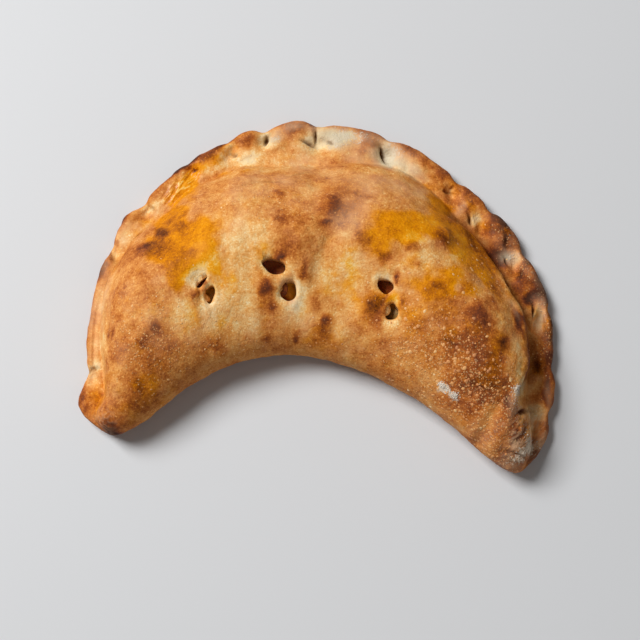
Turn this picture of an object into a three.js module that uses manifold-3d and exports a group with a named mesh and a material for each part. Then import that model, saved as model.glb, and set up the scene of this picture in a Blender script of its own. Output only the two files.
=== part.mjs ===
// A baked stromboli, made as a baker makes it: a round of pizza dough is folded over its filling, the round edge
// is pinched shut with the fingertips, and the parcel is bent into a crescent with the fold on the hollow side.
// Six small vents are snipped through the top, and the filling shows through them.
// Millimetres, +Z up. The crescent opens towards -Y and rests on its flat underside at z = 0.
import * as THREE from "three";
import { mergeVertices } from "three/addons/utils/BufferGeometryUtils.js";
import Module from "manifold-3d";

// ---- Driving dimensions. Plan places are measured from the centre of the dough round. ----
const ROUND_RADIUS = 117.5; // of the pinched edge
const ROUND_CENTRE = [0.46, -26.63]; // the round's centre, placed so that the footprint is centred on the origin
const LEFT_BEARING = 201; // degrees, of the pinched edge where it ends at the left horn
const RIGHT_BEARING = -30; // and at the right horn
const HORN_ROUNDING = 3.5; // how far the horns' tips are blunted
const HORN_FULLNESS = 1.02; // above 1, so that the blunting ends a little way behind the tip
const HORN_HEIGHT = 16; // of the crust just behind a horn's tip
const CREST_HEIGHT = 41; // of the crust over the middle of the filling
const HORN_RUN = 34; // how quickly the crust climbs from a horn to the crest
const NOSE_HEIGHT = 13; // of the roundest point of the fold above the table
const NOSE_TUCK = 9; // how far the fold curls in under itself
const RIM_THICKNESS = 9; // of the pinched rim
const RIM_WIDTH = 15; // of the pinched rim, between its edge and the foot of the dome
const EDGE_ROUNDING = 4.5; // of the rim's edge
const CREST_SHARE = 0.5; // where the crest lies, as a share of the way from the fold to the dome's foot
const FALL_POWER = 2.4; // how late the crust falls from the crest to the rim
const NARROW = { rim: 0.35, climb: 0.4, tuck: 0.3, rounding: 0.2 }; // most of a section's width that each may take
const WALL = 4.5; // of the crust round the filling
const SIDE_WALL = 6.5; // of the crust at the filling's sides
const SEAL_WIDTH = 9; // of solid dough between the filling and the dome's foot
const HEADROOM = 3.5; // steam space between the filling and the top crust
const GAP = 0.5; // between the filling and the crust round it
const FILLED_SHARE = [0.09, 0.9]; // of the crescent's length, where the filling starts and ends
const FILLED_TAPER = 0.2; // share of the filling's length over which each of its ends rounds off
const FILLED_WAIST = 0.25; // height at which the filling is widest, as a share of its full height
const CRESCENT_LENGTH = 200; // along the fold, roughly

// The fold, from the left horn to the right one.
const FOLD = [
  [-101, -48.5],
  [-86, -39],
  [-64, -21.5],
  [-40, -10.5],
  [-14, -6.3],
  [20, -13.5],
  [55, -33],
  [83, -56.5],
  [97, -67],
];

// Where the edge of the round stands out or was pushed in, and by how much: bearing, spread and reach.
const EDGE_BULGES = [
  { at: 194.5, spread: 5, out: 7.5 }, // the ear, where the pinched edge turns the corner of the left horn
  { at: 148, spread: 6, out: 2 },
  { at: 126, spread: 5, out: 1.5 },
  { at: 111, spread: 5, out: 1.5 },
  { at: 96, spread: 5, out: 2 },
  { at: 50, spread: 16, out: -4 },
  { at: 8, spread: 9, out: 3 },
  { at: -22, spread: 16, out: 6.5 },
];

// How much wider or narrower than usual the rim is.
const RIM_CHANGES = [
  { at: 205, spread: 14, out: -6 },
  { at: 164, spread: 15, out: -8 },
  { at: 93, spread: 17, out: 10 },
  { at: 34, spread: 14, out: 6 },
  { at: 2, spread: 14, out: 2.5 },
  { at: -34, spread: 10, out: -5 },
];

// Fingertip dents in the rim: bearing, distance in from the edge, depth and radius.
const PINCHES = [
  { at: 187, inset: 3, deep: 2.5, reach: 4 },
  { at: 154, inset: 3, deep: 2.5, reach: 4 },
  { at: 141, inset: 6, deep: 3.5, reach: 4.5 },
  { at: 125, inset: 7, deep: 3, reach: 4.5 },
  { at: 113.5, inset: 8, deep: 3.5, reach: 4.5 },
  { at: 104, inset: 6.5, deep: 3.5, reach: 4 },
  { at: 90, inset: 11, deep: 5, reach: 6 },
  { at: 71, inset: 10, deep: 5, reach: 5.5 },
  { at: 50, inset: 8, deep: 4, reach: 4.5 },
  { at: 38.5, inset: 11, deep: 4, reach: 4.5 },
  { at: 24, inset: 10, deep: 4, reach: 5 },
  { at: 8.5, inset: 9, deep: 4.5, reach: 4.5 },
  { at: -6, inset: 7, deep: 3.5, reach: 4.5 },
  { at: -17, inset: 10, deep: 4.5, reach: 5 },
];
const NOTCH_SHARE = 0.5; // of a dent's depth, by which it also draws the edge in

// The lip of dough that overhangs the rim on the right, by bearing.
const LIP = { at: 5, spread: 20, height: 3.5, width: 3.5 };

// Swells and hollows of the crust over the lumpy filling: place, radius and height.
const SWELLS = [
  { x: -72, y: 34, reach: 26, rise: 2.5 },
  { x: -30, y: 58, reach: 24, rise: 2 },
  { x: 62, y: 8, reach: 26, rise: 2.5 },
  { x: 34, y: 52, reach: 20, rise: 1.5 },
  { x: 12, y: 22, reach: 17, rise: -3.5 },
  { x: 84, y: -20, reach: 18, rise: 2 },
  { x: 74, y: 47, reach: 12, rise: -2 },
];

// Vents through the top: place, half length, half width, turn in degrees.
const VENTS = [
  { x: -56.8, y: 26.3, long: 4.6, wide: 2.2, turn: 35 },
  { x: -53, y: 19.2, long: 4.8, wide: 2.8, turn: 82 },
  { x: -21.3, y: 33.6, long: 6.3, wide: 3.9, turn: -26 },
  { x: -14.7, y: 21.5, long: 5.2, wide: 4.4, turn: 75 },
  { x: 33.1, y: 23.4, long: 4.1, wide: 3.6, turn: -30 },
  { x: 36, y: 11, long: 4.2, wide: 3.3, turn: 70 },
];
const VENT_DISH = { reach: 8, deep: 1.6 }; // the crust sags a little round each vent
const VENT_SIDES = 14;
const VENT_DEPTH = 12;
const VENT_PROUD = 1.5; // how far a vent's plug of dough reaches above the crust
const VENT_TOP = 1.1; // a vent's size at the top, as a share of its plan size
const VENT_BOTTOM = 0.9; // and at the bottom
const VENT_SEARCH = { from: 0.1, to: 0.9, step: 0.004 }; // shares of the crescent's length that are walked

// ---- Mesh fineness ----
const STATIONS = 104; // along the crescent
const NOSE_STEPS = 5; // round the fold, above and below its roundest point
const DOME_STEPS = 8;
const RIM_STEPS = 7;
const EDGE_STEPS = 3;
const UNDER_STEPS = 2;
const FILLED_STATIONS = 34;
const FILLED_STEPS = 14;

const degrees = THREE.MathUtils.degToRad;
const mix = THREE.MathUtils.lerp;
const bell = (distance, reach) => Math.exp(-((distance / reach) ** 2));
const sumOf = (list, term) => list.reduce((total, item) => total + term(item), 0);
const rounded = (share) => Math.sqrt(Math.max(0, 1 - (1 - Math.min(share, 1)) ** 2)); // a quarter circle's rise

// ---- Plan ----
const foldCurve = new THREE.CatmullRomCurve3(FOLD.map(([x, y]) => new THREE.Vector3(x, y, 0)));

const arcBetween = (bearingA, bearingB) => degrees(bearingA - bearingB) * ROUND_RADIUS;
const edgeRadius = (bearing) =>
  ROUND_RADIUS + sumOf(EDGE_BULGES, (b) => b.out * bell(bearing - b.at, b.spread));

// How far pinching draws the very edge in at a bearing.
const notchAt = (bearing) =>
  sumOf(PINCHES, (p) => NOTCH_SHARE * p.deep * bell(arcBetween(bearing, p.at), p.reach));

// Everything that a cross-section needs, at a share of the crescent's length from the left horn.
function sectionAt(share) {
  const bearing = mix(LEFT_BEARING, RIGHT_BEARING, share);
  const radius = edgeRadius(bearing);
  const edge = new THREE.Vector2(radius * Math.cos(degrees(bearing)), radius * Math.sin(degrees(bearing)));
  const foldPoint = foldCurve.getPointAt(share);
  const fold = new THREE.Vector2(foldPoint.x, foldPoint.y);
  const width = fold.distanceTo(edge);
  const middle = fold.clone().add(edge).multiplyScalar(0.5);
  const rim = RIM_WIDTH + sumOf(RIM_CHANGES, (c) => c.out * bell(bearing - c.at, c.spread));
  return { bearing, fold, edge, width, middle, rim: Math.min(rim, NARROW.rim * width) };
}

const LEFT_TIP = sectionAt(0).middle;
const RIGHT_TIP = sectionAt(1).middle;

// The plan place of a point of a cross-section. The notches pull in the rim and leave the dome alone.
function placeAt({ bearing, fold, edge, width, rim }, distance) {
  const place = fold.clone().lerp(edge, distance / width);
  const pull = notchAt(bearing) * Math.max(0, 1 - (width - distance) / rim);
  return place.setLength(place.length() - pull);
}

const tipDistance = (point) => Math.min(point.distanceTo(LEFT_TIP), point.distanceTo(RIGHT_TIP));

// Share of its full size that a cross-section has, so that the horns close in blunt tips.
function hornShare(section) {
  const reach = HORN_ROUNDING / (HORN_ROUNDING + tipDistance(section.middle));
  return Math.min(1, HORN_FULLNESS * Math.sqrt(Math.max(0, 1 - reach * reach)));
}

// ---- Heights ----
function relief(x, y, bearing, inset) {
  const swells = sumOf(SWELLS, (s) => s.rise * bell(Math.hypot(x - s.x, y - s.y), s.reach));
  const fromDent = (p) => Math.hypot(arcBetween(bearing, p.at), inset - p.inset);
  const dents = sumOf(PINCHES, (p) => p.deep * bell(fromDent(p), p.reach));
  const dishes = sumOf(VENTS, (v) => VENT_DISH.deep * bell(Math.hypot(x - v.x, y - v.y), VENT_DISH.reach));
  return swells - dents - dishes;
}

// Height of the crust's top at a distance in from the fold.
function topHeight(section, distance) {
  const { bearing, width, middle, rim } = section;
  const inset = width - distance;
  const domeWidth = width - rim;
  const across = Math.min(distance / domeWidth, 1);
  const crest = mix(HORN_HEIGHT, CREST_HEIGHT, 1 - Math.exp(-tipDistance(middle) / HORN_RUN));
  const base = mix(NOSE_HEIGHT, RIM_THICKNESS, across);
  const climb = rounded(across / CREST_SHARE);
  const fall = 1 - Math.max(0, (across - CREST_SHARE) / (1 - CREST_SHARE)) ** FALL_POWER;
  const lipBell = bell(bearing - LIP.at, LIP.spread) * bell(inset - rim - LIP.width, LIP.width);
  const place = placeAt(section, distance);
  const softened = Math.min(1, distance / NOSE_TUCK, inset / EDGE_ROUNDING); // no relief on the outline itself
  const full = base + (crest - base) * climb * fall + LIP.height * lipBell;
  const edgeMiddle = RIM_THICKNESS / 2;
  const shaped = full + softened * relief(place.x, place.y, bearing, inset);
  return inset < EDGE_ROUNDING ? mix(edgeMiddle, shaped, rounded(inset / EDGE_ROUNDING)) : shaped;
}

// The closed cross-section, as [distance in from the fold, height] pairs, from the fold's roundest point over the
// top to the edge and back underneath.
function crossSection(section) {
  const { width, rim } = section;
  const climbWidth = Math.min(CREST_SHARE * (width - rim), NARROW.climb * width);
  const tuck = Math.min(NOSE_TUCK, NARROW.tuck * width);
  const rounding = Math.min(EDGE_ROUNDING, NARROW.rounding * width);
  const points = [];
  const over = (distance) => points.push([distance, topHeight(section, distance)]);
  for (let i = 0; i < NOSE_STEPS; i++) over(climbWidth * (1 - Math.cos(degrees((90 * i) / NOSE_STEPS))));
  for (let i = 0; i < DOME_STEPS; i++) over(mix(climbWidth, width - rim, i / DOME_STEPS));
  for (let i = 0; i < RIM_STEPS; i++) over(mix(width - rim, width - rounding, i / RIM_STEPS));
  for (let i = 0; i <= EDGE_STEPS; i++) over(width - rounding * (1 - Math.sin(degrees((90 * i) / EDGE_STEPS))));
  for (let i = 1; i <= EDGE_STEPS; i++) {
    const turn = degrees((90 * i) / EDGE_STEPS);
    points.push([width - rounding * (1 - Math.cos(turn)), (RIM_THICKNESS / 2) * (1 - Math.sin(turn))]);
  }
  for (let i = 1; i < UNDER_STEPS; i++) points.push([mix(width - rounding, tuck, i / UNDER_STEPS), 0]);
  for (let i = 0; i < NOSE_STEPS - 1; i++) {
    const turn = degrees((90 * i) / (NOSE_STEPS - 1));
    points.push([tuck * (1 - Math.sin(turn)), NOSE_HEIGHT * (1 - Math.cos(turn))]);
  }
  return points;
}

// ---- Solids ----
const wasm = await Module();
wasm.setup();

function solidFrom(geometry) {
  const bare = new THREE.BufferGeometry().setAttribute("position", geometry.getAttribute("position"));
  bare.setIndex(geometry.getIndex());
  const merged = mergeVertices(bare, 1e-4);
  return new wasm.Manifold(
    new wasm.Mesh({
      numProp: 3,
      vertProperties: merged.getAttribute("position").array,
      triVerts: new Uint32Array(merged.getIndex().array),
    }),
  );
}

function geometryFrom(solid) {
  const { numProp, vertProperties, triVerts } = solid.getMesh();
  const positions = [];
  for (let i = 0; i < vertProperties.length; i += numProp) positions.push(...vertProperties.slice(i, i + 3));
  const geometry = new THREE.BufferGeometry();
  geometry.setAttribute("position", new THREE.Float32BufferAttribute(positions, 3));
  geometry.setIndex([...triVerts]);
  geometry.computeVertexNormals();
  return geometry;
}

// A closed skin over rings of points, with a pole at either end.
function skinOver(rings, firstPole, lastPole) {
  const perRing = rings[0].length;
  const positions = [firstPole, ...rings.flat(), lastPole].flatMap((p) => p.toArray());
  const at = (ring, point) => 1 + ring * perRing + (point % perRing);
  const last = positions.length / 3 - 1;
  const index = [];
  for (let k = 0; k < perRing; k++) {
    index.push(0, at(0, k), at(0, k + 1));
    for (let i = 0; i + 1 < rings.length; i++) {
      index.push(at(i, k), at(i + 1, k), at(i + 1, k + 1));
      index.push(at(i, k), at(i + 1, k + 1), at(i, k + 1));
    }
    index.push(last, at(rings.length - 1, k + 1), at(rings.length - 1, k));
  }
  const geometry = new THREE.BufferGeometry();
  geometry.setAttribute("position", new THREE.Float32BufferAttribute(positions, 3));
  geometry.setIndex(index);
  return geometry;
}

// The folded parcel's outer form, still solid.
function parcel() {
  const rings = [];
  for (let i = 1; i < STATIONS; i++) {
    const even = i / STATIONS;
    const share = mix(even, (1 - Math.cos(Math.PI * even)) / 2, 0.5); // closer together at the horns
    const section = sectionAt(share);
    const size = hornShare(section);
    rings.push(
      crossSection(section).map(([distance, height]) => {
        const place = placeAt(section, distance).lerp(section.middle, 1 - size);
        return new THREE.Vector3(place.x, place.y, mix(NOSE_HEIGHT / 2, height, size));
      }),
    );
  }
  const pole = (tip) => new THREE.Vector3(tip.x, tip.y, NOSE_HEIGHT / 2);
  return skinOver(rings, pole(LEFT_TIP), pole(RIGHT_TIP));
}

// The space that the filling takes, drawn in from the crust's walls by inset and from its top by headroom too.
function filled(inset, headroom) {
  const [start, end] = FILLED_SHARE;
  const rings = [];
  const centreLine = (section) => (SIDE_WALL + section.width - section.rim - SEAL_WIDTH) / 2;
  const lift = (section, distance) => WALL + FILLED_WAIST * (topHeight(section, distance) - 2 * WALL);
  for (let i = 1; i < FILLED_STATIONS; i++) {
    const along = i / FILLED_STATIONS;
    const section = sectionAt(mix(start, end, along));
    const taper = Math.sqrt(rounded(Math.min(along, 1 - along) / FILLED_TAPER));
    const middle = centreLine(section);
    const half = (middle - SIDE_WALL - inset) * taper;
    rings.push(
      Array.from({ length: FILLED_STEPS }, (_, k) => {
        const turn = (2 * Math.PI * k) / FILLED_STEPS;
        const distance = middle - half * Math.cos(turn);
        const low = WALL + inset;
        const high = topHeight(section, distance) - WALL - inset - headroom;
        const between = lift(section, distance);
        const target = Math.sin(turn) > 0 ? Math.max(high, between) : low;
        const height = mix(between, target, Math.abs(Math.sin(turn)) * taper);
        const place = placeAt(section, distance);
        return new THREE.Vector3(place.x, place.y, height);
      }),
    );
  }
  const pole = (share) => {
    const section = sectionAt(share);
    const place = placeAt(section, centreLine(section));
    return new THREE.Vector3(place.x, place.y, lift(section, centreLine(section)));
  };
  const drawnIn = inset / CRESCENT_LENGTH;
  return skinOver(rings, pole(start + drawnIn), pole(end - drawnIn));
}

// Height of the top crust over any place in plan, found by walking the cross-sections.
function crustHeightOver(x, y) {
  const target = new THREE.Vector2(x, y);
  let best = { off: Infinity, height: 0 };
  for (let share = VENT_SEARCH.from; share < VENT_SEARCH.to; share += VENT_SEARCH.step) {
    const section = sectionAt(share);
    const across = section.edge.clone().sub(section.fold).normalize();
    const distance = target.clone().sub(section.fold).dot(across);
    const off = section.fold.clone().addScaledVector(across, distance).distanceTo(target);
    if (off < best.off) best = { off, height: topHeight(section, distance) };
  }
  return best.height;
}

// The plug of dough that a vent takes out of the top crust, a little wider at the top.
function ventPlug({ x, y, long, wide, turn }) {
  const plug = new THREE.CylinderGeometry(VENT_TOP, VENT_BOTTOM, VENT_DEPTH, VENT_SIDES);
  plug.rotateX(degrees(90));
  plug.scale(long, wide, 1);
  plug.rotateZ(degrees(turn));
  plug.translate(x, y, crustHeightOver(x, y) + VENT_PROUD - VENT_DEPTH / 2);
  return plug;
}

const vented = VENTS.reduce(
  (solid, vent) => solid.subtract(solidFrom(ventPlug(vent))),
  solidFrom(parcel()).subtract(solidFrom(filled(0, 0))),
);

// ---- The part ----
const stromboli = new THREE.Group();
stromboli.name = "stromboli";

const crust = new THREE.Mesh(
  geometryFrom(vented),
  new THREE.MeshStandardMaterial({ color: 0xc8873f, roughness: 0.7, metalness: 0 }),
);
crust.name = "crust";

const filling = new THREE.Mesh(
  geometryFrom(solidFrom(filled(GAP, HEADROOM))),
  new THREE.MeshStandardMaterial({ color: 0xa8701e, roughness: 0.45, metalness: 0 }),
);
filling.name = "filling";

for (const mesh of [crust, filling]) {
  mesh.position.set(...ROUND_CENTRE, 0);
  stromboli.add(mesh);
}

export default stromboli;
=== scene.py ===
# %% [markdown]
# # A baked stromboli
# A round of pizza dough was folded over its filling, pinched shut with the fingertips, bent into a crescent and
# baked until golden. Here the measured solids of the part are the frame, and each one gets a finely modelled piece
# with a baked surface in its place.
# %% Load the frame
import math

import bmesh
import bpy
import numpy as np
from mathutils import Matrix, Vector, noise
from mathutils.bvhtree import BVHTree


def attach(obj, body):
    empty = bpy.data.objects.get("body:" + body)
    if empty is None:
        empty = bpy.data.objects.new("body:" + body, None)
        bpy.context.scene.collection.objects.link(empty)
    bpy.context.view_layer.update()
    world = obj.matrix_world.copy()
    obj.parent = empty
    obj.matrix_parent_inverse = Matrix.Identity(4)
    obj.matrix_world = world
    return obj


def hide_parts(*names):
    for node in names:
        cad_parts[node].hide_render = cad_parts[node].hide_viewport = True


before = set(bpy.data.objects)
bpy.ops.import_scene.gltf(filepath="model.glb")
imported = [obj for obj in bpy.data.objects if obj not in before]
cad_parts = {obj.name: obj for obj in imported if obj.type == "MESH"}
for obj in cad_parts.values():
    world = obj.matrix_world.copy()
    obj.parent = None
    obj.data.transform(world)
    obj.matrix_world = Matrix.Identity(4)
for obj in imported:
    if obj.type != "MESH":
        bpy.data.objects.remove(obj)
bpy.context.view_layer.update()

print("nodes of the frame:", sorted(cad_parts))

# %% [markdown]
# ## The plan of the parcel
# The maker's round of dough fixes everything: its edge is an arc with small bulges, and the fold is a smooth curve
# through a few places. Both could be drawn by hand in the editor, but kept as named values they match the solids to
# a fraction of a millimetre. All lengths are millimetres from the round's centre until the mesh is finished.
# %% The round, its fold and its edge
ROUND_RADIUS = 117.5  # of the pinched edge
ROUND_CENTRE = (0.46, -26.63)
LEFT_BEARING, RIGHT_BEARING = 201, -30  # degrees, where the pinched edge ends at the horns
FOLD = [
    (-101, -48.5), (-86, -39), (-64, -21.5), (-40, -10.5), (-14, -6.3), (20, -13.5), (55, -33), (83, -56.5),
    (97, -67),
]

# bearing, spread and reach of the edge's bulges, and of the rim's changes of width
EDGE_BULGES = [
    (194.5, 5, 7.5), (148, 6, 2), (126, 5, 1.5), (111, 5, 1.5), (96, 5, 2), (50, 16, -4), (8, 9, 3), (-22, 16, 6.5),
]
RIM_CHANGES = [(205, 14, -6), (164, 15, -8), (93, 17, 10), (34, 14, 6), (2, 14, 2.5), (-34, 10, -5)]
# the fingertip dents: bearing, distance in from the edge, depth and radius
PINCHES = [
    (187, 3, 2.5, 4), (154, 3, 2.5, 4), (141, 6, 3.5, 4.5), (125, 7, 3, 4.5), (113.5, 8, 3.5, 4.5),
    (104, 6.5, 3.5, 4), (90, 11, 5, 6), (71, 10, 5, 5.5), (50, 8, 4, 4.5), (38.5, 11, 4, 4.5), (24, 10, 4, 5),
    (8.5, 9, 4.5, 4.5), (-6, 7, 3.5, 4.5), (-17, 10, 4.5, 5),
]
NOTCH_SHARE = 0.5  # of a dent's depth, by which it also draws the edge in


def mix(a, b, share):
    return a + (b - a) * share


def bell(distance, reach):
    return np.exp(-((distance / reach) ** 2))


def ease(low, high, value):
    """0 below low, 1 above high, and smooth between them."""
    share = np.clip((value - low) / (high - low), 0, 1)
    return share * share * (3 - 2 * share)


def rounded(share):
    """A quarter circle's rise."""
    return np.sqrt(np.maximum(0, 1 - (1 - np.minimum(share, 1)) ** 2))


def smooth_curve(places, steps=60):
    """A centripetal curve through the places, as points and their shares of its length."""
    p = np.array(places, float)
    p = np.vstack([2 * p[0] - p[1], p, 2 * p[-1] - p[-2]])
    points = []
    for a, b, c, d in zip(p, p[1:], p[2:], p[3:]):
        gap = [math.sqrt(np.linalg.norm(q - r)) for q, r in ((b, a), (c, b), (d, c))]
        leave = gap[1] * ((b - a) / gap[0] - (c - a) / (gap[0] + gap[1]) + (c - b) / gap[1])
        reach = gap[1] * ((c - b) / gap[1] - (d - b) / (gap[1] + gap[2]) + (d - c) / gap[2])
        t = np.linspace(0, 1, steps, endpoint=False)[:, None]
        square, cube = 3 * (c - b) - 2 * leave - reach, 2 * (b - c) + leave + reach
        points.append(b + leave * t + square * t**2 + cube * t**3)
    points = np.vstack(points + [p[-2:-1]])
    along = np.concatenate([[0], np.cumsum(np.linalg.norm(np.diff(points, axis=0), axis=1))])
    return points, along / along[-1]


fold_points, fold_shares = smooth_curve(FOLD)
print("the fold is", round(float(np.linalg.norm(np.diff(fold_points, axis=0), axis=1).sum())), "mm long")

# %% Cross-sections along the crescent
RIM_WIDTH, RIM_THICKNESS, EDGE_ROUNDING = 15, 9, 4.5
NARROW_RIM = 0.35  # most of a section's width that the rim may take


def arc_between(bearing_a, bearing_b):
    return np.radians(bearing_a - bearing_b) * ROUND_RADIUS


def changed(size, bearing, changes):
    return size + sum(out * bell(bearing - at, spread) for at, spread, out in changes)


def edge_radius(bearing):
    return changed(ROUND_RADIUS, bearing, EDGE_BULGES)


class Section:
    """The places that a cross-section needs, at shares of the crescent's length from the left horn."""

    def __init__(self, share):
        self.bearing = mix(LEFT_BEARING, RIGHT_BEARING, share)
        turn = np.radians(self.bearing)
        self.edge = edge_radius(self.bearing)[:, None] * np.stack([np.cos(turn), np.sin(turn)], 1)
        self.fold = np.stack([np.interp(share, fold_shares, fold_points[:, k]) for k in (0, 1)], 1)
        self.width = np.linalg.norm(self.edge - self.fold, axis=1)
        self.middle = (self.fold + self.edge) / 2
        self.rim = np.minimum(changed(RIM_WIDTH, self.bearing, RIM_CHANGES), NARROW_RIM * self.width)

    def place(self, distance):
        """Plan places at a distance in from the fold. The notches pull in the rim alone."""
        at = self.fold + (self.edge - self.fold) * (distance / self.width)[:, None]
        notches = sum(NOTCH_SHARE * deep * bell(arc_between(self.bearing, b), reach) for b, _, deep, reach in PINCHES)
        pull = notches * np.maximum(0, 1 - (self.width - distance) / self.rim)
        length = np.linalg.norm(at, axis=1)
        return at * ((length - pull) / length)[:, None]


def section_at(along):
    """Cross-sections at the grid's columns, which stand closer together toward the horns."""
    return Section(mix(along, (1 - np.cos(np.pi * along)) / 2, 0.5))


tips = Section(np.array([0.0, 1.0])).middle
print("the horns' tips lie", round(float(np.linalg.norm(tips[0] - tips[1]))), "mm apart")

# %% [markdown]
# ## The height of the crust
# Over the filling the dough stands up like a low loaf: it climbs in a quarter circle from the fold, and falls late
# and steeply to the flat rim. The same rule as in the solids is used, so the fine skin and the solid agree.
# %% Height of the top over the plan
NOSE_HEIGHT, NOSE_TUCK = 13, 9  # of the fold's roundest point, and how far it curls in underneath
HORN_ROUNDING, HORN_FULLNESS, HORN_HEIGHT, HORN_RUN = 3.5, 1.02, 16, 34
CREST_HEIGHT, CREST_SHARE, FALL_POWER = 41, 0.5, 2.4
LIP_AT, LIP_SPREAD, LIP_HEIGHT, LIP_WIDTH = 5, 20, 3.5, 3.5  # the dough that overhangs the rim on the right
SWELLS = [
    (-72, 34, 26, 2.5), (-30, 58, 24, 2), (62, 8, 26, 2.5), (34, 52, 20, 1.5), (12, 22, 17, -3.5), (84, -20, 18, 2),
    (74, 47, 12, -2),
]
VENTS = [(-56.8, 26.3), (-53, 19.2), (-21.3, 33.6), (-14.7, 21.5), (33.1, 23.4), (36, 11)]
DISH_REACH, DISH_DEEP = 8, 1.6  # the crust sags a little round each vent


def tip_distance(place):
    return np.minimum(np.linalg.norm(place - tips[0], axis=1), np.linalg.norm(place - tips[1], axis=1))


def horn_share(section):
    """Share of its full size that a cross-section has, so that the horns close in blunt tips."""
    reach = HORN_ROUNDING / (HORN_ROUNDING + tip_distance(section.middle))
    return np.minimum(1, HORN_FULLNESS * np.sqrt(np.maximum(0, 1 - reach**2)))


def gap_to(points, x, y):
    """Distance in plan from points to one place."""
    return np.hypot(points[:, 0] - x, points[:, 1] - y)


def relief(at, bearing, inset):
    swells = sum(rise * bell(gap_to(at, x, y), reach) for x, y, reach, rise in SWELLS)
    dents = sum(deep * bell(np.hypot(arc_between(bearing, b), inset - i), reach) for b, i, deep, reach in PINCHES)
    dishes = sum(DISH_DEEP * bell(gap_to(at, x, y), DISH_REACH) for x, y in VENTS)
    return swells - dents - dishes


def top_height(section, distance):
    inset = section.width - distance
    across = np.minimum(distance / (section.width - section.rim), 1)
    crest = mix(HORN_HEIGHT, CREST_HEIGHT, 1 - np.exp(-tip_distance(section.middle) / HORN_RUN))
    base = mix(NOSE_HEIGHT, RIM_THICKNESS, across)
    fall = 1 - np.maximum(0, (across - CREST_SHARE) / (1 - CREST_SHARE)) ** FALL_POWER
    lip = LIP_HEIGHT * bell(section.bearing - LIP_AT, LIP_SPREAD) * bell(inset - section.rim - LIP_WIDTH, LIP_WIDTH)
    softened = np.minimum(1, np.minimum(distance / NOSE_TUCK, inset / EDGE_ROUNDING))
    full = base + (crest - base) * rounded(across / CREST_SHARE) * fall + lip
    shaped = full + softened * relief(section.place(distance), section.bearing, inset)
    at_edge = mix(RIM_THICKNESS / 2, shaped, rounded(np.maximum(inset, 0) / EDGE_ROUNDING))
    return np.where(inset < EDGE_ROUNDING, at_edge, shaped)


print("the crest stands", CREST_HEIGHT, "mm high, and", HORN_HEIGHT, "mm at the horns")

# %% [markdown]
# ## The skin of the crust
# The skin is one flat grid, wrapped round the parcel: its columns run along the crescent and its rows round the
# cross-section, over the top to the edge and back underneath. A grid keeps the quads even, so the surface shades
# smoothly, and the two sides that meet are merged into a closed bag. Where the dough was pinched or snipped the grid
# is divided once more first, because small creases need small quads.
# %% Wrapping a place of the grid round the parcel
COLUMNS, ROWS = 520, 150
# shares of the rows where each stretch of the cross-section ends
NOSE, DOME, RIM, EDGE, UNDER_EDGE, UNDER = 0.1, 0.54, 0.76, 0.8, 0.83, 0.93
MERGE_WITHIN = 0.002  # places as near as this become one
# the most of a section's width that each of these takes where the parcel is narrow
NARROW_CLIMB, NARROW_TUCK, NARROW_ROUNDING = 0.4, 0.3, 0.2


def wrap(along, round_it):
    """Points of the plain parcel, for places on the grid that run from 0 to 1 both ways."""
    section = section_at(along)
    climb = np.minimum(CREST_SHARE * (section.width - section.rim), NARROW_CLIMB * section.width)
    tuck = np.minimum(NOSE_TUCK, NARROW_TUCK * section.width)
    rounding = np.minimum(EDGE_ROUNDING, NARROW_ROUNDING * section.width)
    share = lambda start, end: np.clip((round_it - start) / (end - start), 0, 1)
    quarter = lambda start, end: share(start, end) * np.pi / 2
    over = [
        climb * (1 - np.cos(quarter(0, NOSE))),
        mix(climb, section.width - section.rim, share(NOSE, DOME)),
        mix(section.width - section.rim, section.width - rounding, share(DOME, RIM)),
        section.width - rounding * (1 - np.sin(quarter(RIM, EDGE))),
        section.width - rounding * (1 - np.cos(quarter(EDGE, UNDER_EDGE))),
        mix(section.width - rounding, tuck, share(UNDER_EDGE, UNDER)),
        tuck * (1 - np.sin(quarter(UNDER, 1))),
    ]
    stretch = np.searchsorted([NOSE, DOME, RIM, EDGE, UNDER_EDGE, UNDER], round_it)
    distance = np.choose(stretch, over)
    below_edge = RIM_THICKNESS / 2 * (1 - np.sin(quarter(EDGE, UNDER_EDGE)))
    below_nose = NOSE_HEIGHT * (1 - np.cos(quarter(UNDER, 1)))
    below = np.where(stretch == 4, below_edge, np.where(stretch == 6, below_nose, 0))
    height = np.where(stretch < 4, top_height(section, distance), below)
    size = horn_share(section)
    at = mix(section.middle, section.place(distance), size[:, None])
    return np.column_stack([at, mix(NOSE_HEIGHT / 2, height, size)])


def grid_places(bm):
    """The places on the grid, from 0 to 1 both ways, of a bmesh's vertices. The last row is the first one again."""
    places = np.round([v.co.xy for v in bm.verts], 6) + 0.5
    return places[:, 0], places[:, 1] % 1


def reshape(bm, points):
    for vert, point in zip(bm.verts, points):
        vert.co = point


def close_up(bm):
    """Merges places that meet, and turns the faces outwards."""
    bmesh.ops.remove_doubles(bm, verts=bm.verts, dist=MERGE_WITHIN)
    bmesh.ops.recalc_face_normals(bm, faces=bm.faces)
    bm.normal_update()


def places_and_normals(bm):
    return np.array([v.co[:] for v in bm.verts]), np.array([v.normal[:] for v in bm.verts])


print("the grid has", COLUMNS, "columns and", ROWS, "rows")

# %% The grid, finer where the dough was pinched or snipped
NEAR_VENT, NEAR_PINCH = 9, 4.5  # how far round them the grid is finer


def nearest_of(places, points):
    """Distance in plan from points to the nearest of some places."""
    return np.min([gap_to(points, x, y) for x, y in places], axis=0)


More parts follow.
